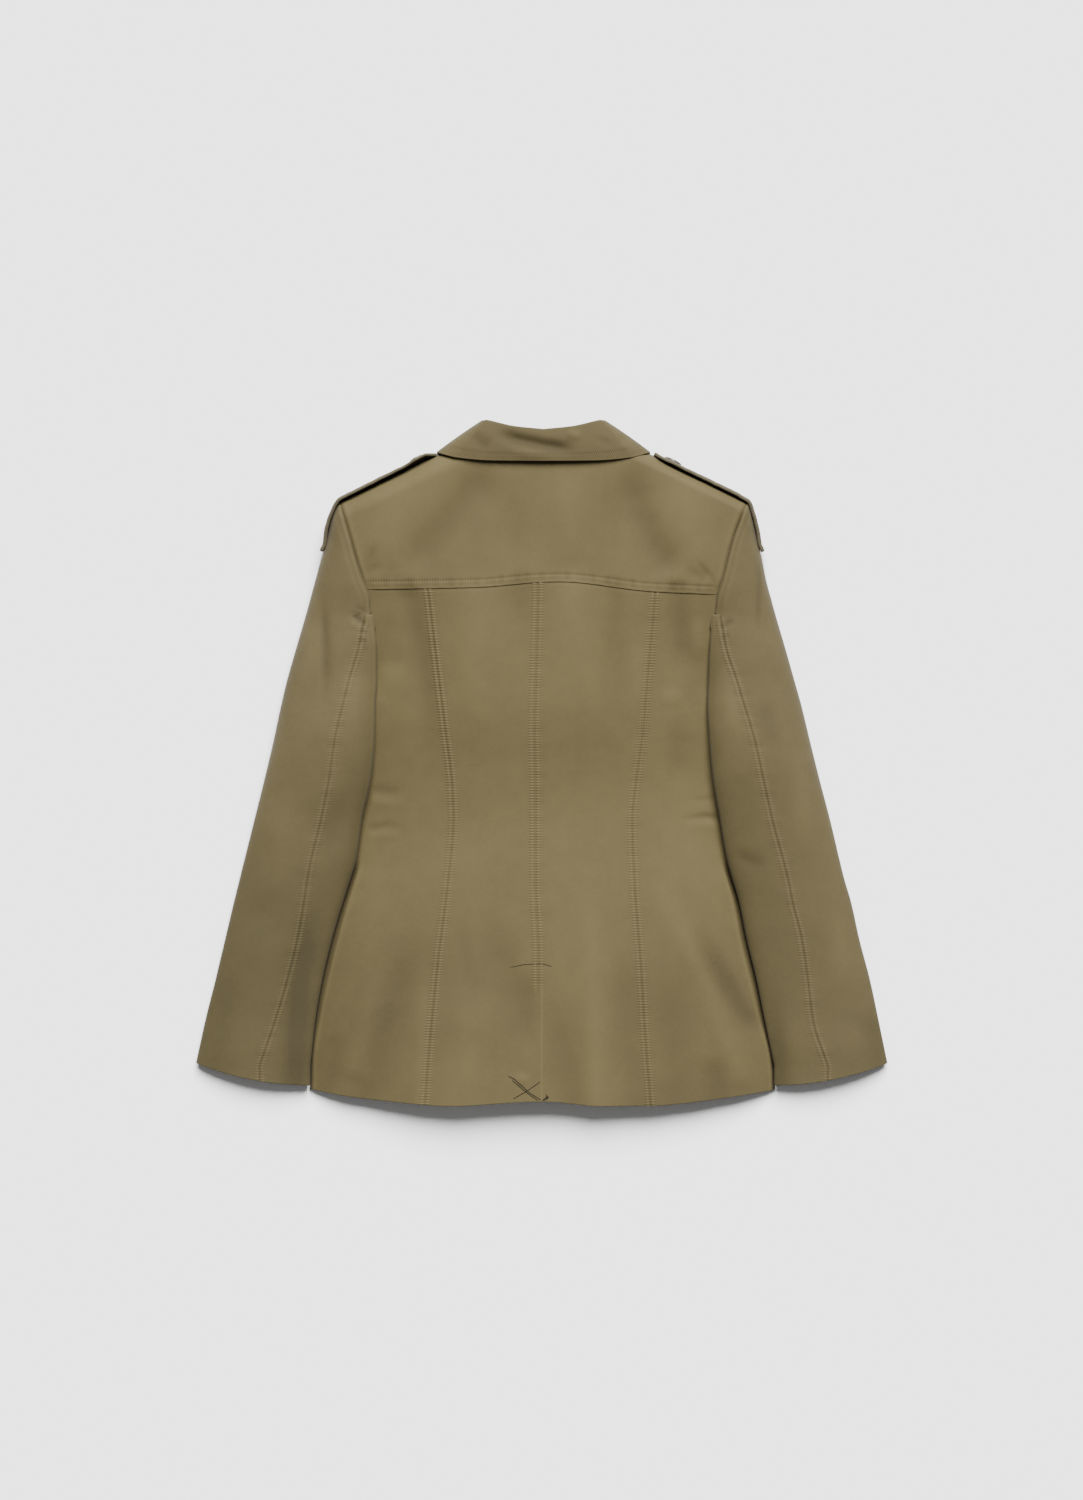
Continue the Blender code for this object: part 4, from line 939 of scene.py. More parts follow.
sleeveFolds = {
    "Left": (
        {"line": ((-219, 172), (-214, 110), (-214, 52)), "half": 5, "depth": -1.4, "tone": -0.35},
        {"line": ((-226, 190), (-236, 50)), "half": 9, "depth": 1.0, "tone": 0.4, "fade": (0.5, 0.5)},
        {"line": ((-186, 110), (-190, 10)), "half": 10, "depth": 1.0, "tone": 0.3},
        {"line": ((-195, -20), (-222, -110)), "half": 12, "depth": -1.6, "tone": -0.3},
        {"line": ((-252, -20), (-270, -150)), "half": 15, "depth": 1.4, "tone": 0.15},
        {"line": ((-226, -110), (-243, -240), (-247, -330)), "half": 13, "depth": -2.4, "tone": -0.75,
         "fade": (0.4, 0)},
        {"line": ((-218, 176), (-216, 40)), "half": 3.2, "depth": -0.8, "tone": -0.3, "fade": (0.4, 0.4)},
        {"line": ((-310, -190), (-330, -310)), "half": 16, "depth": -1.0, "tone": -0.3, "fade": (0.4, 0)},
    ),
    "Right": (
        {"line": ((216, 215), (217, 170), (216, 120)), "half": 3, "depth": -1.0, "tone": -0.5},
        {"line": ((184, 110), (190, 10)), "half": 10, "depth": 1.0, "tone": 0.35},
        {"line": ((222, 70), (228, 0)), "half": 12, "depth": -1.6, "tone": -0.35},
        {"line": ((256, 30), (264, -100)), "half": 11, "depth": 1.6, "tone": 0.3},
        {"line": ((188, -88), (226, -106)), "half": 7, "depth": -1.2, "tone": -0.4},
        {"line": ((298, -130), (302, -235)), "half": 12, "depth": 1.5, "tone": 0.3},
        {"line": ((330, -240), (338, -300)), "half": 13, "depth": -1.6, "tone": -0.4, "fade": (0.5, 0)},
        {"line": ((229, -225), (240, -330)), "half": 10, "depth": -2.0, "tone": -0.7, "fade": (0.5, 0)},
    ),
}
sleeveCreases = {
    "Left": (
        {"line": ((-191, 151), (-174, 138)), "half": 2.8, "depth": -1.6, "tone": -1.1, "fade": (0.4, 0.1)},
        {"line": ((-193, 141), (-177, 134)), "half": 3.4, "depth": 0.8, "tone": 0.25, "fade": (0.4, 0.2)},
        {"line": ((-182, 133), (-173, 130)), "half": 1.8, "depth": -0.9, "tone": -0.8, "fade": (0.2, 0.1)},
        {"line": ((-183, 124), (-173, 121)), "half": 1.8, "depth": -0.8, "tone": -0.8, "fade": (0.2, 0.1)},
        {"line": ((-184, 157), (-174, 150)), "half": 2.0, "depth": -0.7, "tone": -0.6, "fade": (0.2, 0.1)},
        {"line": ((-178, 116), (-172, 112)), "half": 1.8, "depth": -0.5, "tone": -0.5, "fade": (0.2, 0.1)},
    ),
    "Right": (
        {"line": ((192, 144), (177, 134)), "half": 2.4, "depth": -0.9, "tone": -0.6, "fade": (0.3, 0.1)},
        {"line": ((188, 128), (178, 124)), "half": 2.2, "depth": -0.7, "tone": -0.5, "fade": (0.2, 0.1)},
    ),
}


def sleeveY(along, share):
    low = ease(along, 0.25, 1)
    top = sleeveShape["capTop"]
    straight = top + (sleeveShape["cuffOuter"] - top) * along
    lean = (sleeveShape["cuffInner"] - sleeveShape["cuffOuter"]) * share
    return straight + low * (lean - sleeveShape["cuffBow"] * 4 * share * (1 - share))


def sleeveLine(side, name, along):  # share of the width at which a seam lies, for each along
    share = np.full(along.shape, 0.5)
    for _ in range(6):
        y = sleeveY(along, share)
        outer = through(sleeveForm, "y", "outer" + side, y)
        fold = through(sleeveForm, "y", "fold" + side, y)
        share = (through(sleeveForm, "y", name + side, y) - outer) / (fold - outer)
    return share


sleeveRest = {  # the inner fold leaves the armhole at foldTop and softens below softTop
    "gap": 0.8, "foldTop": 154, "foldReach": 48, "softTop": 150, "softReach": 38, "softness": 17,
}


def restHeight(x, y):  # what a sleeve lies on: the body, or the floor beside it
    share, arch = bodyArch(x, y, room=through(sleeveForm, "y", "drape", y))
    return np.where(share < 1, arch + sleeveRest["gap"], 0)


def foldHeight(side, y):  # height of the inner fold, eased where it comes off the body
    knots = np.arange(-345.0, 275.0, 3.0)
    fold = through(sleeveForm, "y", "fold" + side, knots)
    folded = ease(sleeveRest["foldTop"] - knots, 0, sleeveRest["foldReach"])
    lying = restHeight(fold, knots) + through(sleeveForm, "y", "radius", knots)
    plain = backForm(fold, knots) * (1 - folded) + lying * folded
    spread = np.exp(-((np.arange(-60, 61, 3.0) / sleeveRest["softness"]) ** 2))
    soft = np.convolve(np.pad(plain, 20, mode="edge"), spread / spread.sum(), mode="valid")
    above = ease(knots, sleeveRest["softTop"] - sleeveRest["softReach"], sleeveRest["softTop"])
    soft = plain + (soft - plain) * (1 - above)
    return np.interp(y, knots, soft)


def sleeveTop(side, x, y):  # finished upper face of a sleeve, and its masks: painted shade and highlight, and distance from the stitch rows
    outer = through(sleeveForm, "y", "outer" + side, y)
    fold = through(sleeveForm, "y", "fold" + side, y)
    share = np.clip((x - outer) / (fold - outer), 0, 1)
    edgeZ = through(sleeveForm, "y", "edgeZ", y)
    foldZ = foldHeight(side, y)
    arch = np.sqrt(np.clip(4 * share * (1 - share), 0, 1))
    broad, tone = foldSum(sleeveFolds[side], x, y)
    small, smallTone = foldSum(sleeveCreases[side], x, y)
    fine = small + unevenness(x, y, 80, 5 if side == "Left" else 6) * 0.4
    # painted shade along folds and creases, darker towards the cuff
    tone = tone + smallTone - sleeveShape["lowTone" + side] * ease(-y, -60, 260)
    rise = through(sleeveForm, "y", "rise", y) * arch
    full = np.sqrt(1 - (1 - share) ** bodyShape["fullness"])
    z = edgeZ + (foldZ - edgeZ) * full + rise + (broad + fine) * arch
    inward = 1 if side == "Left" else -1
    d = (x - through(sleeveForm, "y", "seam" + side, y)) * inward
    present = 1 - ease(y, sleeveShape["seamTop"] - 12, sleeveShape["seamTop"])
    height = np.zeros(z.shape)
    away = np.full(z.shape, 60.0)
    for row in sleeveShape["seamRows"]:
        height = height + sleeveShape["seamHeight"] * bell(d - row, sleeveShape["seamHalf"])
        away = np.minimum(away, np.abs(d - row) + 30 * (1 - present))
    height = height - 0.3 * bell(d, 0.9)
    draw = ripple(y, 10.0, 31) * 0.14 + ripple(y, 26.0, 32) * 0.14
    height = (height + draw * bell(d, 7.0)) * present
    armhole = (fold - x) * inward
    inCap = ease(y, sleeveShape["seamTop"], sleeveShape["seamTop"] + 10)
    atShoulder = inCap * ease(y, 165, 200)
    sink = (-0.4 * bell(armhole, 1.2) + 0.5 * bell(armhole - 3.2, 1.8)) * atShoulder
    # painted highlight on the seam ridges and along the fold and cap edges, painted shadow along the armhole
    # seam
    tone = tone + height * 0.9 - 0.4 * bell(armhole - 0.4, 1.2) * atShoulder
    tone = tone + 0.4 * bell(armhole - 2.0, 1.6) * (1 - inCap) * ease(y, -100, -60)
    tone = tone + (0.45 * bell(armhole - 3.4, 1.4) + 0.3 * bell(armhole - 9.5, 1.5)) * inCap
    return z + height + sink, np.clip(tone, -1.3, 1.3), away


def outerUnderside(side, x, y):
    edgeZ = through(sleeveForm, "y", "edgeZ", y)
    outer = through(sleeveForm, "y", "outer" + side, y)
    armhole = through(bodyForm, "y", "front" + side, y)
    floor = frontForm(armhole, y) * (1 - ease(np.abs(x - armhole), 0, 22))
    lying = np.where(y > sleeveShape["armpitY"], floor, restHeight(x, y))
    return lying + (edgeZ - lying) * (1 - quarterRound(np.abs(x - outer) / edgeZ))


def innerUnderside(side, x, y):
    radius = through(sleeveForm, "y", "radius", y)
    fold = through(sleeveForm, "y", "fold" + side, y)
    lying = restHeight(x, y)
    return lying + (foldHeight(side, y) - lying) * (1 - quarterRound(np.abs(x - fold) / radius))


def sleeveSheet(name, side, along, topShare, lowShare, underside, node, flip):
    along = along[:, None]
    topY, lowY = sleeveY(along, topShare), sleeveY(along, lowShare)
    points, masks = [], []
    for y, share, top in ((topY, topShare, True), (lowY, lowShare, False)):
        outer = through(sleeveForm, "y", "outer" + side, y)
        x = outer + (through(sleeveForm, "y", "fold" + side, y) - outer) * share
        if top:
            z, paintedShadeAndTone, away = sleeveTop(side, x, y)
        else:
            z, paintedShadeAndTone, away = underside(side, x, y), 0 * x, 0 * x + 60
        points.append(np.stack([x, y, z], 2))
        masks.append((paintedShadeAndTone, away, y))
    paintedShadeAndTone, away, run = (np.concatenate(m, axis=1) for m in zip(*masks))
    item = clothShell(name, np.concatenate(points, axis=1), sleeveShadedCloth, paintedShadeAndTone, away, run, flip=flip)
    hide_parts(node)
    return item


def upperSleeve(side, node):
    along = np.concatenate([np.linspace(0, 1, 220)[:-3], 1 - np.array((0.008, 0.005, 0.0025, 0.001, 0))])
    y = sleeveY(along, 1.0)
    width = np.abs(through(sleeveForm, "y", "fold" + side, y) - through(sleeveForm, "y", "outer" + side, y))
    start = np.where(y > sleeveShape["underTop"] + 1, 1.0, sleeveLine(side, "seam", along))
    end = sleeveLine(side, "under", along)
    armhole = through(bodyForm, "y", "front" + side, y)
    sewn = y > sleeveShape["armpitY"]
    end = np.where(sewn, np.abs(armhole - through(sleeveForm, "y", "outer" + side, y)) / width, end)
    start = (start - 0.08 / width)[:, None]
    end = (end - np.where(sewn, 1.0, 0.3) / width)[:, None]
    steps = np.minimum(closeSteps[None, :] / width[:, None], start * closeSteps[None, :] / 32)
    near = start - steps
    rest = near[:, -1:] * (1 - closeToEnd(34)[None, 1:])
    topShare = np.concatenate([near, rest], axis=1)
    lowShare = end * closeToStart(24)[None, 1:]
    name = "sleeveUpper" + side
    return sleeveSheet(name, side, along, topShare, lowShare, outerUnderside, node, side == "Left")


def underSleeve(side, node):
    fullLength = sleeveShape["capTop"] - sleeveShape["cuffOuter"]
    first = (sleeveShape["capTop"] - sleeveShape["underTop"]) / fullLength
    nearCuff = 1 - np.array((0.01, 0.006, 0.003, 0.0012, 0))
    along = first + (1 - first) * np.concatenate([np.linspace(0, 1, 190)[:-3], nearCuff])
    y = sleeveY(along, 1.0)
    width = np.abs(through(sleeveForm, "y", "fold" + side, y) - through(sleeveForm, "y", "outer" + side, y))
    start = (sleeveLine(side, "seam", along) + 0.08 / width)[:, None]
    end = (sleeveLine(side, "under", along) + 0.3 / width)[:, None]
    steps = np.minimum(closeSteps[None, :] / width[:, None], (1 - start) * closeSteps[None, :] / 22)
    near = start + steps
    rest = 1 - (1 - near[:, -1:]) * (1 - closeToEnd(20)[None, 1:])
    topShare = np.concatenate([near, rest], axis=1)
    lowShare = 1 - (1 - end) * closeToStart(22)[None, 1:]
    name = "sleeveUnder" + side
    return sleeveSheet(name, side, along, topShare, lowShare, innerUnderside, node, side == "Right")


print("sleeves")
sleevePieces = []
for side in ("Left", "Right"):
    sleevePieces.append(upperSleeve(side, "sleeve_upper_" + side.lower()))
    sleevePieces.append(underSleeve(side, "sleeve_under_" + side.lower()))

# collar

collarForm = {
    "turn":  (0.0, 0.2, 0.38, 0.47, 0.53, 0.57, 0.64, 0.8, 1.0),
    "neckX": (0, 28, 51, 62, 63, 60, 54, 40, 4),
    "neckY": (313, 314, 319.5, 328, 328, 320, 304, 279, 255),
    "neckZ": (44.5, 44, 39, 28, 14, 8, 5.4, 5.4, 5.4),
    "foldX": (0, 30, 57, 62, 61, 57, 49, 33, 4),
    "foldY": (332.5, 335.5, 341.5, 342, 339, 332, 316, 289, 264),
    "foldZ": (49.5, 50, 47, 34, 12, 3, 1, 1, 1),
    "edgeX": (0, 48, 86, 106, 107, 107, 101, 78, 10),
    "edgeY": (301, 301.4, 304.6, 311, 312, 305, 280, 236, 226),
    "edgeZ": (51.6, 50.8, 46.8, 31, 10, 0.8, 0, 0, 0),
}
collarShape = {
    "middle": 2.0,
    "bulge": 1.5,
    "coreZ": 22.0,
    "standInset": 2.7,
    "wall": 2.2,
    "fallWidth": 32,
    "length": 260,
    "row": 6.0,
    "lyingFrom": 30,
    "lyingAt": 44,
}
collarFolds = (
    {"line": ((-48, 330), (-24, 322), (4, 316), (38, 311)), "half": 6.0, "depth": -3.6, "tone": -1.35,
     "fade": (0.3, 0.3)},
    {"line": ((-70, 330), (-62, 320), (-50, 311)), "half": 7, "depth": -1.2, "tone": -0.5,
     "fade": (0.3, 0.3)},
    {"line": ((66, 326), (60, 314)), "half": 8, "depth": -1.0, "tone": -0.6},
    {"line": ((22, 330), (42, 324)), "half": 5, "depth": 1.2, "tone": 0.35},
    {"line": ((-34, 309), (10, 306)), "half": 5, "depth": 0.8, "tone": 0.2},
    {"line": ((76, 318), (98, 312)), "half": 7, "depth": 0.8, "tone": 0.25},
    {"line": ((-92, 316), (-76, 330)), "half": 6, "depth": 0.6, "tone": 0.3},
)


def collarLine(name, turn):
    x = collarShape["middle"] + np.sign(turn) * through(collarForm, "turn", name + "X", np.abs(turn))
    y = through(collarForm, "turn", name + "Y", np.abs(turn))
    z = through(collarForm, "turn", name + "Z", np.abs(turn))
    return np.stack([x, y, z], 1)


def buildCollar():
    turn = np.linspace(-1, 1, 321)
    fold, edge, neck = (collarLine(n, turn) for n in ("fold", "edge", "neck"))
    middle = collarShape["middle"]
    core = np.stack([middle + (fold[:, 0] - middle) * 0.75, fold[:, 1], turn * 0 + collarShape["coreZ"]], 1)
    inward = core - fold
    inward = inward / np.linalg.norm(inward, axis=1, keepdims=True)
    share = np.concatenate([np.linspace(0, 0.8, 26)[:-1], 0.8 + 0.2 * closeToEnd(12)])[None, :, None]
    fall = fold[:, None] * (1 - share) + edge[:, None] * share
    above = np.where(fall[..., 2:] > collarShape["coreZ"], 1, 0)
    bulge = collarShape["bulge"] * 4 * share * (1 - share) * above
    fall = fall - inward[:, None] * bulge
    s = share[..., 0]
    lying = ease(fall[..., 2], collarShape["lyingFrom"], collarShape["lyingAt"])
    dent, tone = foldSum(collarFolds, fall[..., 0], fall[..., 1])
    dent, tone = dent * lying, tone * lying
    fromEdge = (1 - s) * collarShape["fallWidth"]
    fromRow = fromEdge - collarShape["row"]
    row = -0.2 * bell(fromRow, 0.9) * lying
    draw = ripple(fall[..., 0], 12.0, 61) * 0.12 * bell(fromEdge, 7.0) * lying
    fall[..., 2] += dent + row + draw + unevenness(fall[..., 0], fall[..., 1], 60, 9) * 0.25 * lying
    # painted shade in the dents and a painted highlight along the fall's edge; the whole fall a little darker
    paintedShadeAndTone = np.clip(tone - 0.12, -1.3, 1.3) + 0.3 * bell(fromEdge, 1.5)
    run = 0 * s + turn[:, None] * collarShape["length"]
    item = clothShell("collarFall", fall, collarCloth, paintedShadeAndTone, np.abs(fromRow), run,
                      wall=collarShape["wall"], flip=True)
    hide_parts("collar_fall")
    top = fold + inward * collarShape["standInset"]
    share = np.linspace(0, 1, 16)[None, :, None]
    stand = top[:, None] * (1 - share) + neck[:, None] * share
    band = clothShell("collarStand", stand, bodyCloth, wall=1.4, flip=True)
    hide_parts("collar_stand")
    return [item, band]


print("collar")
collarPieces = buildCollar()

# shoulder straps, seen on edge

strapPaths = {  # the upper edge as seen from above, the heights of both edges, and how far the face leans
    "Left": {
        "along": (0.0, 0.054, 0.128, 0.196, 0.269, 0.417, 0.567, 0.671, 0.761, 0.87, 0.964, 1.0),
        "x": (-105.6, -115, -126.5, -136.5, -147, -168.2, -189.5, -203.6, -211.5, -216.9, -218.9, -221.6),
        "y": (310.8, 310.6, 305.6, 299.2, 293.7, 283, 272.2, 264.6, 251, 234.5, 219.5, 213.5),
        "top": (31, 38, 40, 40, 39.5, 38.5, 37.5, 36, 33, 30, 28, 27),
        "low": (12, 4, 1, 1, 1, 1, 1.5, 2, 3, 4, 5, 6),
        "lean": (4.4, 5.4, 5.8, 4.8, 3.2, 1.6, 1.3, 0.8, 0.6, 0.5, 0.4, 0.2),
    },
    "Right": {
        "along": (0.0, 0.054, 0.121, 0.192, 0.256, 0.359, 0.458, 0.602, 0.689, 0.767, 0.862, 0.958, 1.0),
        "x": (114.5, 121.5, 131, 141, 150, 164.5, 178.5, 198.5, 209, 213.4, 217.6, 220.2, 222.8),
        "y": (311, 306.6, 302.2, 297, 292.6, 285.6, 278.8, 268.8, 261.6, 250, 234.5, 219.5, 213),
        "top": (31, 38, 40, 40, 39.5, 38.5, 38, 37, 35.5, 33, 30, 28, 27),
        "low": (12, 4, 1, 1, 1, 1, 1, 1.5, 2, 3, 4, 5, 6),
        "lean": (2.2, 3, 3, 2.4, 1.6, 0.8, 0.5, 0.4, 0.4, 0.3, 0.3, 0.3, 0.2),
    },
}
strapShape = {
    "curl": 0.5,
    "roll": 1.8,
    "rollFrom": 0.7,
    "rollPower": 1.6,
    "wall": 2.4,
    "row": 4.0,
    "length": 160,
}


def strapOutward(path, along):  # level direction away from the shoulder
    x, y = through(path, "along", "x", along), through(path, "along", "y", along)
    outward = np.stack([np.gradient(y), -np.gradient(x)], 1)
    outward = outward / np.linalg.norm(outward, axis=1, keepdims=True)
    return x, y, outward if outward[0, 1] > 0 else -outward


def buildStrap(side, node):
    path = strapPaths[side]
    along = np.linspace(0, 1, 170)
    x, y, outward = strapOutward(path, along)
    top, low, lean = (through(path, "along", n, along)[:, None] for n in ("top", "low", "lean"))
    half = (top - low) / 2
    across = np.concatenate([-1 + np.array((0, 0.02, 0.06, 0.12, 0.2, 0.26)), np.linspace(-0.6, 0.6, 13),
                             1 - np.array((0.26, 0.2, 0.12, 0.06, 0.02, 0))])[None, :]
    back = strapShape["curl"] * (across**2 - 1) + lean * (1 - across)
    back = back + strapShape["roll"] * ease(across, strapShape["rollFrom"], 1.0) ** strapShape["rollPower"]
    fromEdge = half * (1 - np.abs(across))
    near = np.abs(fromEdge - strapShape["row"])
    run = along[:, None] * strapShape["length"]
    back = back + 0.2 * bell(near, 0.8) + ripple(run, 17.0, 91) * 0.15
    outer = np.stack([x[:, None] - outward[:, :1] * back, y[:, None] - outward[:, 1:] * back,
                      (top + low) / 2 + across * half], 2)
    # painted light over the strap's shaded face, painted shade along the stitch row, darker along both edges
    paintedShadeAndTone = 0.1 - 0.5 * bell(fromEdge, 4.0) - 0.3 * bell(near, 0.8)
    item = clothShell("strap" + side, outer, strapCloth, paintedShadeAndTone, near, 0 * near + run,
                      wall=strapShape["wall"], flip=x[0] > 0)
    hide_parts(node)
    return item


print("straps")
strapPieces = [buildStrap("Left", "epaulette_left"), buildStrap("Right", "epaulette_right")]

# buttons

buttonStyle = {
    "frontRadius": 10.0,
    "strapRadius": 9.5,
    "thick": 2.9,
    "holes": 0.11,
    "top": 195.0,
    "step": 95.0,
    "strapAt": 0.125,
}


def nothingSelected():
    if bpy.context.object and bpy.context.object.mode != "OBJECT":
        bpy.ops.object.mode_set(mode="OBJECT")
    bpy.ops.object.select_all(action="DESELECT")


def makeActive(item):
    nothingSelected()
    item.select_set(True)
    bpy.context.view_layer.objects.active = item


def pickFaces(item, test):
    bpy.ops.object.mode_set(mode="OBJECT")
    for v in item.data.vertices:
        v.select = False
    for e in item.data.edges:
        e.select = False
    for f in item.data.polygons:
        f.select = bool(test(f))
    bpy.ops.object.mode_set(mode="EDIT")


def moldButton(name, radius):  # face up at the origin, its back on z = 0
    radius, thick = radius * mm, buttonStyle["thick"] * mm
    nothingSelected()
    bpy.ops.mesh.primitive_cylinder_add(vertices=48, radius=radius, depth=thick, location=(0, 0, thick / 2))
    button = bpy.context.object
    button.name = name
    bpy.ops.object.transform_apply(location=True, rotation=True, scale=True)
    bpy.ops.object.mode_set(mode="EDIT")
    bpy.ops.mesh.select_mode(type="FACE")
    pickFaces(button, lambda f: f.normal.z > 0.9)
    bpy.ops.mesh.inset(thickness=radius * 0.2)
    bpy.ops.mesh.inset(thickness=radius * 0.1)
    bpy.ops.transform.translate(value=(0, 0, -thick * 0.22))
    bpy.ops.mesh.inset(thickness=radius * 0.12)
    pickFaces(button, lambda f: f.normal.z < -0.9)
    bpy.ops.mesh.inset(thickness=radius * 0.14)
    bpy.ops.object.mode_set(mode="OBJECT")
    bevel = button.modifiers.new("edges", "BEVEL")
    bevel.width = thick * 0.3
    bevel.segments = 4
    bevel.limit_method = "ANGLE"
    bevel.angle_limit = math.radians(35)
    makeActive(button)
    bpy.ops.object.modifier_apply(modifier=bevel.name)
    spread = radius * 0.22
    for i in range(4):
        nothingSelected()
        turn = math.pi / 4 + i * math.pi / 2
        bpy.ops.mesh.primitive_cylinder_add(
            vertices=16, radius=radius * buttonStyle["holes"], depth=thick * 3,
            location=(spread * math.cos(turn) * 1.2, spread * math.sin(turn) * 1.2, thick / 2),
        )
        drill = bpy.context.object
        makeActive(button)
        hole = button.modifiers.new("hole", "BOOLEAN")
        hole.operation = "DIFFERENCE"
        hole.solver = "EXACT"
        hole.object = drill
        bpy.ops.object.modifier_apply(modifier=hole.name)
        bpy.data.objects.remove(drill, do_unlink=True)
    button.data.materials.clear()
    button.data.materials.append(buttonPlastic)
    makeActive(button)
    bpy.ops.object.shade_smooth_by_angle(angle=math.radians(35))
    return button


def moldThread(name, radius):  # the two bars of thread between the holes
    radius, thick = radius * mm, buttonStyle["thick"] * mm
    bars = []
    for i in (-1, 1):
        nothingSelected()
        bpy.ops.mesh.primitive_cylinder_add(
            vertices=10, radius=radius * 0.07, depth=radius * 0.5, rotation=(0, math.pi / 2, 0),
            location=(0, i * radius * 0.187, thick * 0.82),
        )
        bar = bpy.context.object
        bpy.ops.object.transform_apply(location=True, rotation=True, scale=True)
        bpy.ops.object.mode_set(mode="EDIT")
        bpy.ops.mesh.select_mode(type="FACE")
        for end in (-1, 1):
            pickFaces(bar, lambda f: f.normal.x * end > 0.9)
            bpy.ops.mesh.inset(thickness=radius * 0.012)
            down = (end * radius * 0.05, 0, -radius * 0.12)
            bpy.ops.mesh.extrude_region_move(TRANSFORM_OT_translate={"value": down})
        bpy.ops.object.mode_set(mode="OBJECT")
        bars.append(bar)
    nothingSelected()
    for bar in bars:
        bar.select_set(True)
    bpy.context.view_layer.objects.active = bars[0]
    bpy.ops.object.join()
    bars[0].name = name
    bars[0].data.materials.clear()
    bars[0].data.materials.append(stitchThread)
    bpy.ops.object.shade_smooth_by_angle(angle=math.radians(40))
    return bars[0]


def placed(master, name, place, turn):
    item = bpy.data.objects.new(name, master.data.copy())
    bpy.context.scene.collection.objects.link(item)
    item.rotation_euler = turn
    item.location = [c * mm for c in place]
    makeActive(item)
    bpy.ops.object.transform_apply(location=True, rotation=True, scale=True)
    return item


print("buttons")
buttonPieces, buttonThreads = [], []
bigButton = moldButton("bigButton", buttonStyle["frontRadius"])
bigThread = moldThread("bigThread", buttonStyle["frontRadius"])
smallButton = moldButton("smallButton", buttonStyle["strapRadius"])
smallThread = moldThread("smallThread", buttonStyle["strapRadius"])
for i in range(5):
    place = (0, buttonStyle["top"] - i * buttonStyle["step"], bodyShape["channelZ"] - 0.3)
    turn = (math.pi, 0, 0.5 * i)
    item = placed(bigButton, "frontButton%d" % (i + 1), place, turn)
    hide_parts("front_button_%d" % (i + 1))
    buttonPieces.append(item)
    buttonThreads.append(placed(bigThread, "frontButtonThread%d" % (i + 1), place, turn))
for side in ("Left", "Right"):
    path = strapPaths[side]
    x, y, outward = strapOutward(path, buttonStyle["strapAt"] + np.array((-0.01, 0, 0.01)))
    at = buttonStyle["strapAt"]
    top, low, lean = (float(through(path, "along", n, at)) for n in ("top", "low", "lean"))
    axis, off = outward[1], 0.3 + strapShape["curl"] - lean
    place = (x[1] + axis[0] * off, y[1] + axis[1] * off, (top + low) / 2)
    turn = (math.pi / 2 + math.atan(2 * lean / (top - low)), 0, math.atan2(axis[0], -axis[1]))
    item = placed(smallButton, "strapButton" + side, place, turn)
    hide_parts("epaulette_button_" + side.lower())
    buttonPieces.append(item)
    buttonThreads.append(placed(smallThread, "strapButtonThread" + side, place, turn))
for master in (bigButton, bigThread, smallButton, smallThread):
    bpy.data.objects.remove(master, do_unlink=True)

# sewing: every stitch is a short bead of thread, sunk at both ends

stitchStyle = {
    "pitch": 2.7,
    "length": 2.0,
    "radius": 0.26,
    "sides": 6,
    "centerRows": (-6.4, -0.6),
    "princessRows": (-2.6, 2.6),
    "center": (-198.0, 172),
    "princessLeft": (-330, 170),
    "princessRight": (-330, 167),
    "yoke": (-166, 170),
    "elbow": (-308, 140),
}


def evenly(points, pitch):
    steps = np.linalg.norm(np.diff(points, axis=0), axis=1)
    run = np.concatenate([[0], np.cumsum(steps)])
    at = np.arange(pitch / 2, run[-1], pitch)
    return np.stack([np.interp(at, run, points[:, i]) for i in range(3)], 1)


def stitchMesh(rows, dice):  # rows of (points, normals); gives the vertices and faces of all beads
    length, radius, sides = stitchStyle["length"], stitchStyle["radius"], stitchStyle["sides"]
    rings = ((-0.5, 0.35, -0.8), (-0.28, 0.95, 0.2), (0.28, 0.95, 0.2), (0.5, 0.35, -0.8))
    points, faces = [], []
    for line, normals in rows:
        tangent = np.gradient(line, axis=0)
        tangent = tangent / np.linalg.norm(tangent, axis=1, keepdims=True)
        for p, t, n in zip(line, tangent, normals):
            b = np.cross(t, n)
            b = b / np.linalg.norm(b)
            n = np.cross(b, t)
            p = p + b * dice.normal(0, 0.05)
            long = length * dice.uniform(0.92, 1.06)
            base = len(points)
            for shift, wide, up in rings:
                for k in range(sides):
                    angle = 2 * math.pi * k / sides
                    points.append(p + t * shift * long + b * math.cos(angle) * radius * wide
                                  + n * (math.sin(angle) * radius * wide + up * radius))
            for r in range(3):
                for k in range(sides):
                    a, c = base + r * sides + k, base + r * sides + (k + 1) % sides
                    faces.append((a, c, c + sides, a + sides))
            faces.append(tuple(base + k for k in range(sides))[::-1])
            faces.append(tuple(base + 3 * sides + k for k in range(sides)))
    return points, faces


def surfaceRow(heightAt, plan):  # a line on the plan, laid onto a surface
    plan = np.asarray(plan, float)
    z = heightAt(plan[:, 0], plan[:, 1])
    line = evenly(np.column_stack([plan, z]), stitchStyle["pitch"])
    step = 0.6
    slopeX = (heightAt(line[:, 0] + step, line[:, 1]) - heightAt(line[:, 0] - step, line[:, 1])) / (2 * step)
    slopeY = (heightAt(line[:, 0], line[:, 1] + step) - heightAt(line[:, 0], line[:, 1] - step)) / (2 * step)
    normals = np.stack([-slopeX, -slopeY, np.ones(len(line))], 1)
    return line, normals / np.linalg.norm(normals, axis=1, keepdims=True)


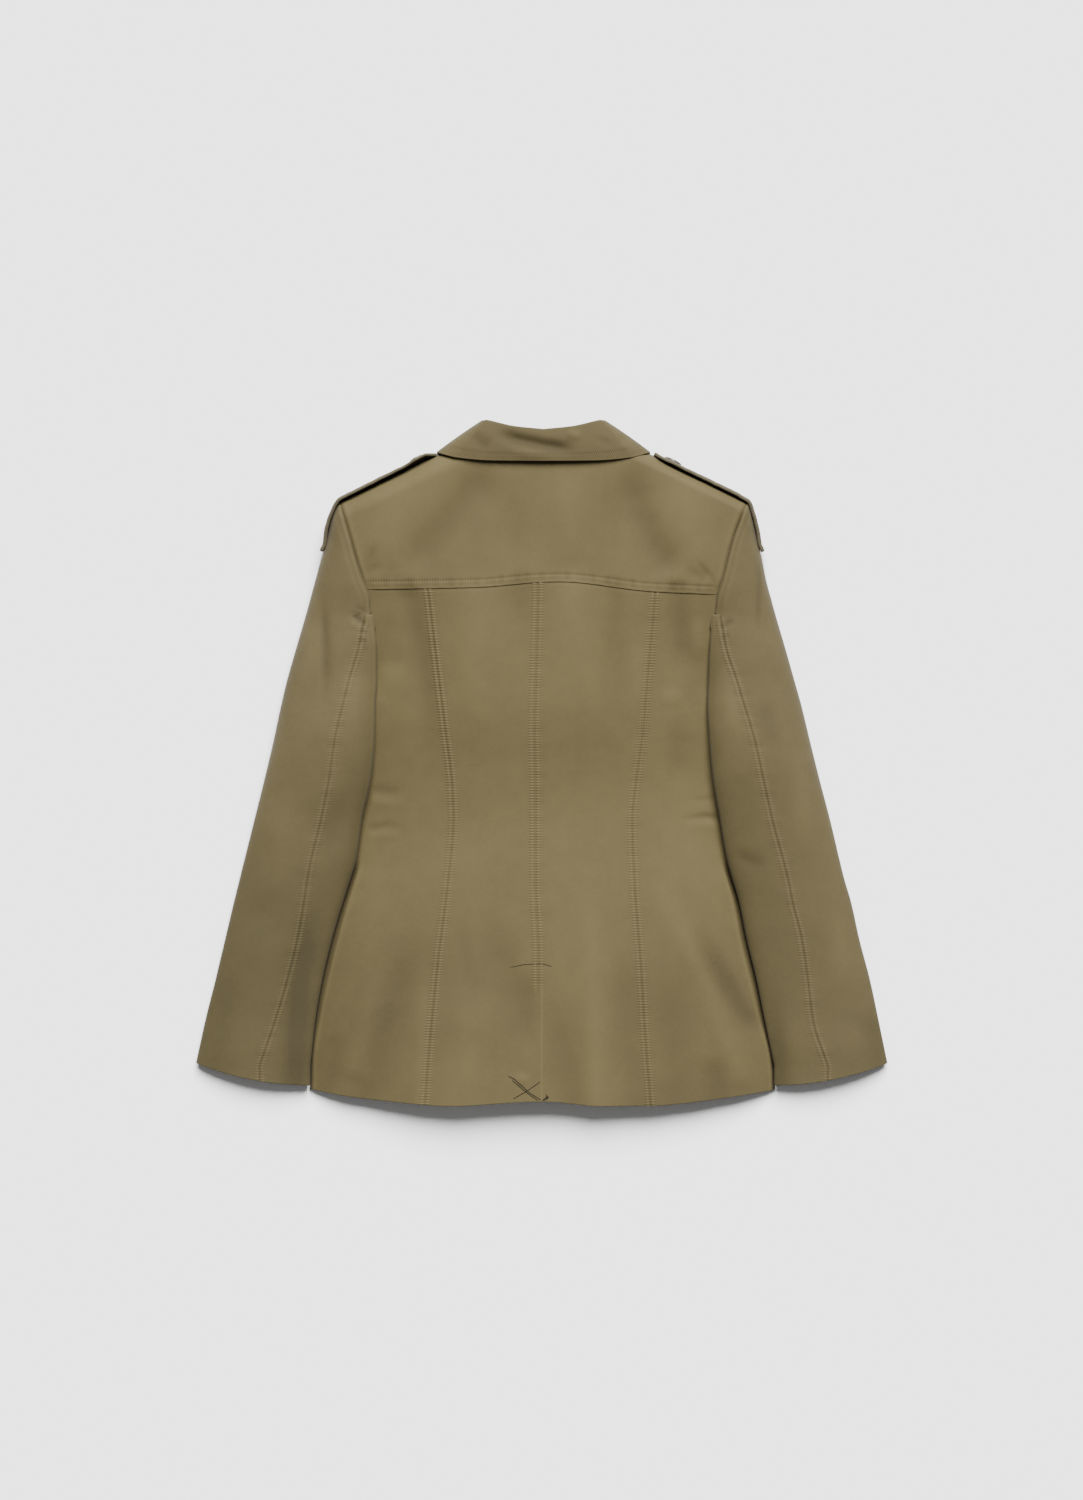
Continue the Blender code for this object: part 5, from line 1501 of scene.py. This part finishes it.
def sewRows(name, rows, material, seed):
    points, faces = stitchMesh(rows, np.random.default_rng(seed))
    item = newPiece(name, np.array(points) * mm, faces, material)
    item.data.shade_smooth()
    print("  %s: %d stitches" % (name, len(faces) // 20))
    return item


def backHeight(x, y):
    return backTop(x, y)[0]


def longRow(seam, offset, low, high):
    y = np.arange(low, high, 1.0)
    return surfaceRow(backHeight, np.column_stack([seam(y) + offset, y]))


def yokeHeight(x, y):
    relief = yokeRelief(x, y - through(yokeSeam, "x", "y", x))
    return backTop(x, y, yoke=True)[0] + sum(relief)


def sewJacket():
    made = {}
    center = [longRow(centerSeam, r, *stitchStyle["center"]) for r in stitchStyle["centerRows"]]
    made["center"] = sewRows("stitchesCenterBack", center, stitchThread, 71)
    left = [longRow(princessLeft, r, *stitchStyle["princessLeft"]) for r in stitchStyle["princessRows"]]
    right = [longRow(princessRight, r, *stitchStyle["princessRight"]) for r in stitchStyle["princessRows"]]
    made["princess"] = [
        sewRows("stitchesPrincessLeft", left, stitchThread, 72),
        sewRows("stitchesPrincessRight", right, stitchThread, 73),
    ]
    x = np.arange(*stitchStyle["yoke"], 1.0)
    plan = np.column_stack([x, through(yokeSeam, "x", "y", x) + yokeEdge["row"]])
    made["yoke"] = sewRows("stitchesYoke", [surfaceRow(yokeHeight, plan)], stitchThread, 74)
    made["elbow"] = []
    for side, seed in (("Left", 75), ("Right", 76)):
        inward = 1 if side == "Left" else -1
        y = np.arange(*stitchStyle["elbow"], 1.0)
        rows = []
        for r in sleeveShape["seamRows"]:
            plan = np.column_stack([through(sleeveForm, "y", "seam" + side, y) + r * inward, y])
            rows.append(surfaceRow(lambda px, py: sleeveTop(side, px, py)[0], plan))
        made["elbow"].append(sewRows("stitchesElbow" + side, rows, stitchThread, seed))
    return made


print("sewing")
sewing = sewJacket()


def threadTube(name, lines, radius, material):
    sides = 8
    points, faces = [], []
    for line in lines:
        line = np.asarray(line, float)
        tangent = np.gradient(line, axis=0)
        tangent = tangent / np.linalg.norm(tangent, axis=1, keepdims=True)
        b = np.cross(tangent, (0, 0, 1.0))
        b = b / np.maximum(np.linalg.norm(b, axis=1, keepdims=True), 1e-6)
        n = np.cross(b, tangent)
        base = len(points)
        for i in range(len(line)):
            wide = radius * (0.5 if i in (0, len(line) - 1) else 1)
            for k in range(sides):
                angle = 2 * math.pi * k / sides
                points.append(line[i] + wide * (b[i] * math.cos(angle) + n[i] * math.sin(angle)))
        for i in range(len(line) - 1):
            for k in range(sides):
                a, c = base + i * sides + k, base + i * sides + (k + 1) % sides
                faces.append((a, c, c + sides, a + sides))
        faces.append(tuple(base + k for k in range(sides))[::-1])
        faces.append(tuple(base + (len(line) - 1) * sides + k for k in range(sides)))
    item = newPiece(name, np.array(points) * mm, faces, material)
    item.data.shade_smooth()
    return item


def laidLine(plan, above, count=24):  # a thread laid on the back, its two ends sewn in
    plan = np.asarray(plan, float)
    key = np.linspace(0, 1, len(plan))
    at = np.linspace(0, 1, count)
    x, y = np.interp(at, key, plan[:, 0]), np.interp(at, key, plan[:, 1])
    z = backHeight(x, y) + above * np.sin(np.clip(at, 0, 1) * math.pi) ** 0.3 - 0.2
    return np.column_stack([x, y, z])


ventThreads = {
    "bastingRadius": 0.34,
    "tackRadius": 0.32,
    "cross": (
        ((-33.5, -311.5), (-27, -314.5), (-12, -328), (0.5, -336)),
        ((-28.5, -334.5), (-14, -326), (-1, -317)),
    ),
    "second": (((-30, -315), (-14, -328.5), (-3, -336)),),
    "tack": (((-31.5, -203.5), (-18, -200.5), (0, -199.5), (10.5, -202.5)),),
    "knot": (
        ((0.5, -336), (4.5, -333), (5.5, -331), (7, -333), (4, -335), (1.5, -336.2)),
        ((4.5, -329.5), (6, -332.5), (3, -334.5)),
    ),
}
bastingPiece = threadTube(
    "ventBasting",
    [laidLine(line, 0.5) for key in ("cross", "second", "knot") for line in ventThreads[key]],
    ventThreads["bastingRadius"],
    bastingThread,
)
tackLines = [laidLine(line, 0.3) for line in ventThreads["tack"]]
tackPiece = threadTube("ventTack", tackLines, ventThreads["tackRadius"], bastingThread)

# each piece rides the one body


def finishPiece(item):
    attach(item, "root")


clothPieces = backPieces + [ventPiece, yokePiece] + frontPieces + sleevePieces + collarPieces
for item in clothPieces:
    finishPiece(item)
for item in strapPieces:
    finishPiece(item)
for item in buttonPieces:
    finishPiece(item)
stitchPieces = [sewing["center"], sewing["yoke"], *sewing["princess"], *sewing["elbow"]]
stitchPieces += [bastingPiece, tackPiece, *buttonThreads]
for item in stitchPieces:
    finishPiece(item)

# floor, light and camera

studio = {  # turn and elevation of the light in degrees, sizes in metres
    "floor": (0.88, 0.88, 0.88),
    "floorSize": 40,
    "key": 14.2,
    "soft": 40,
    "elevation": 48,
    "turn": -8,
    "fill": 0.24,
    "lens": 120,
    "cameraPlace": (0, 0.0135, 5.02),
}


def buildStudio():
    nothingSelected()
    bpy.ops.mesh.primitive_plane_add(size=studio["floorSize"], location=(0, 0, 0))
    floor = bpy.context.object
    floor.name = "studioFloor"
    material = bpy.data.materials.new("paleFloor")
    material.use_nodes = True
    shader = material.node_tree.nodes["Principled BSDF"]
    shader.inputs["Base Color"].default_value = (*studio["floor"], 1)
    shader.inputs["Roughness"].default_value = 0.9
    shader.inputs["Specular IOR Level"].default_value = 0.1
    floor.data.materials.append(material)
    light = bpy.data.lights.new("softKey", "SUN")  # the size of a large overhead softbox
    light.energy = studio["key"]
    light.angle = math.radians(studio["soft"])
    key = bpy.data.objects.new("softKey", light)
    key.location = (0, 1.2, 2.2)
    key.rotation_euler = (math.radians(studio["elevation"] - 90), 0, math.radians(studio["turn"]))
    bpy.context.scene.collection.objects.link(key)
    world = bpy.data.worlds.new("softRoom")
    world.use_nodes = True
    world.node_tree.nodes["Background"].inputs["Color"].default_value = (1, 1, 1, 1)
    world.node_tree.nodes["Background"].inputs["Strength"].default_value = studio["fill"]
    bpy.context.scene.world = world


def buildCamera():
    data = bpy.data.cameras.new("overhead")
    data.lens = studio["lens"]
    data.sensor_width = 36
    data.clip_end = 20
    camera = bpy.data.objects.new("overhead", data)
    camera.location = studio["cameraPlace"]
    bpy.context.scene.collection.objects.link(camera)
    bpy.context.scene.camera = camera


print("studio")
buildStudio()
buildCamera()
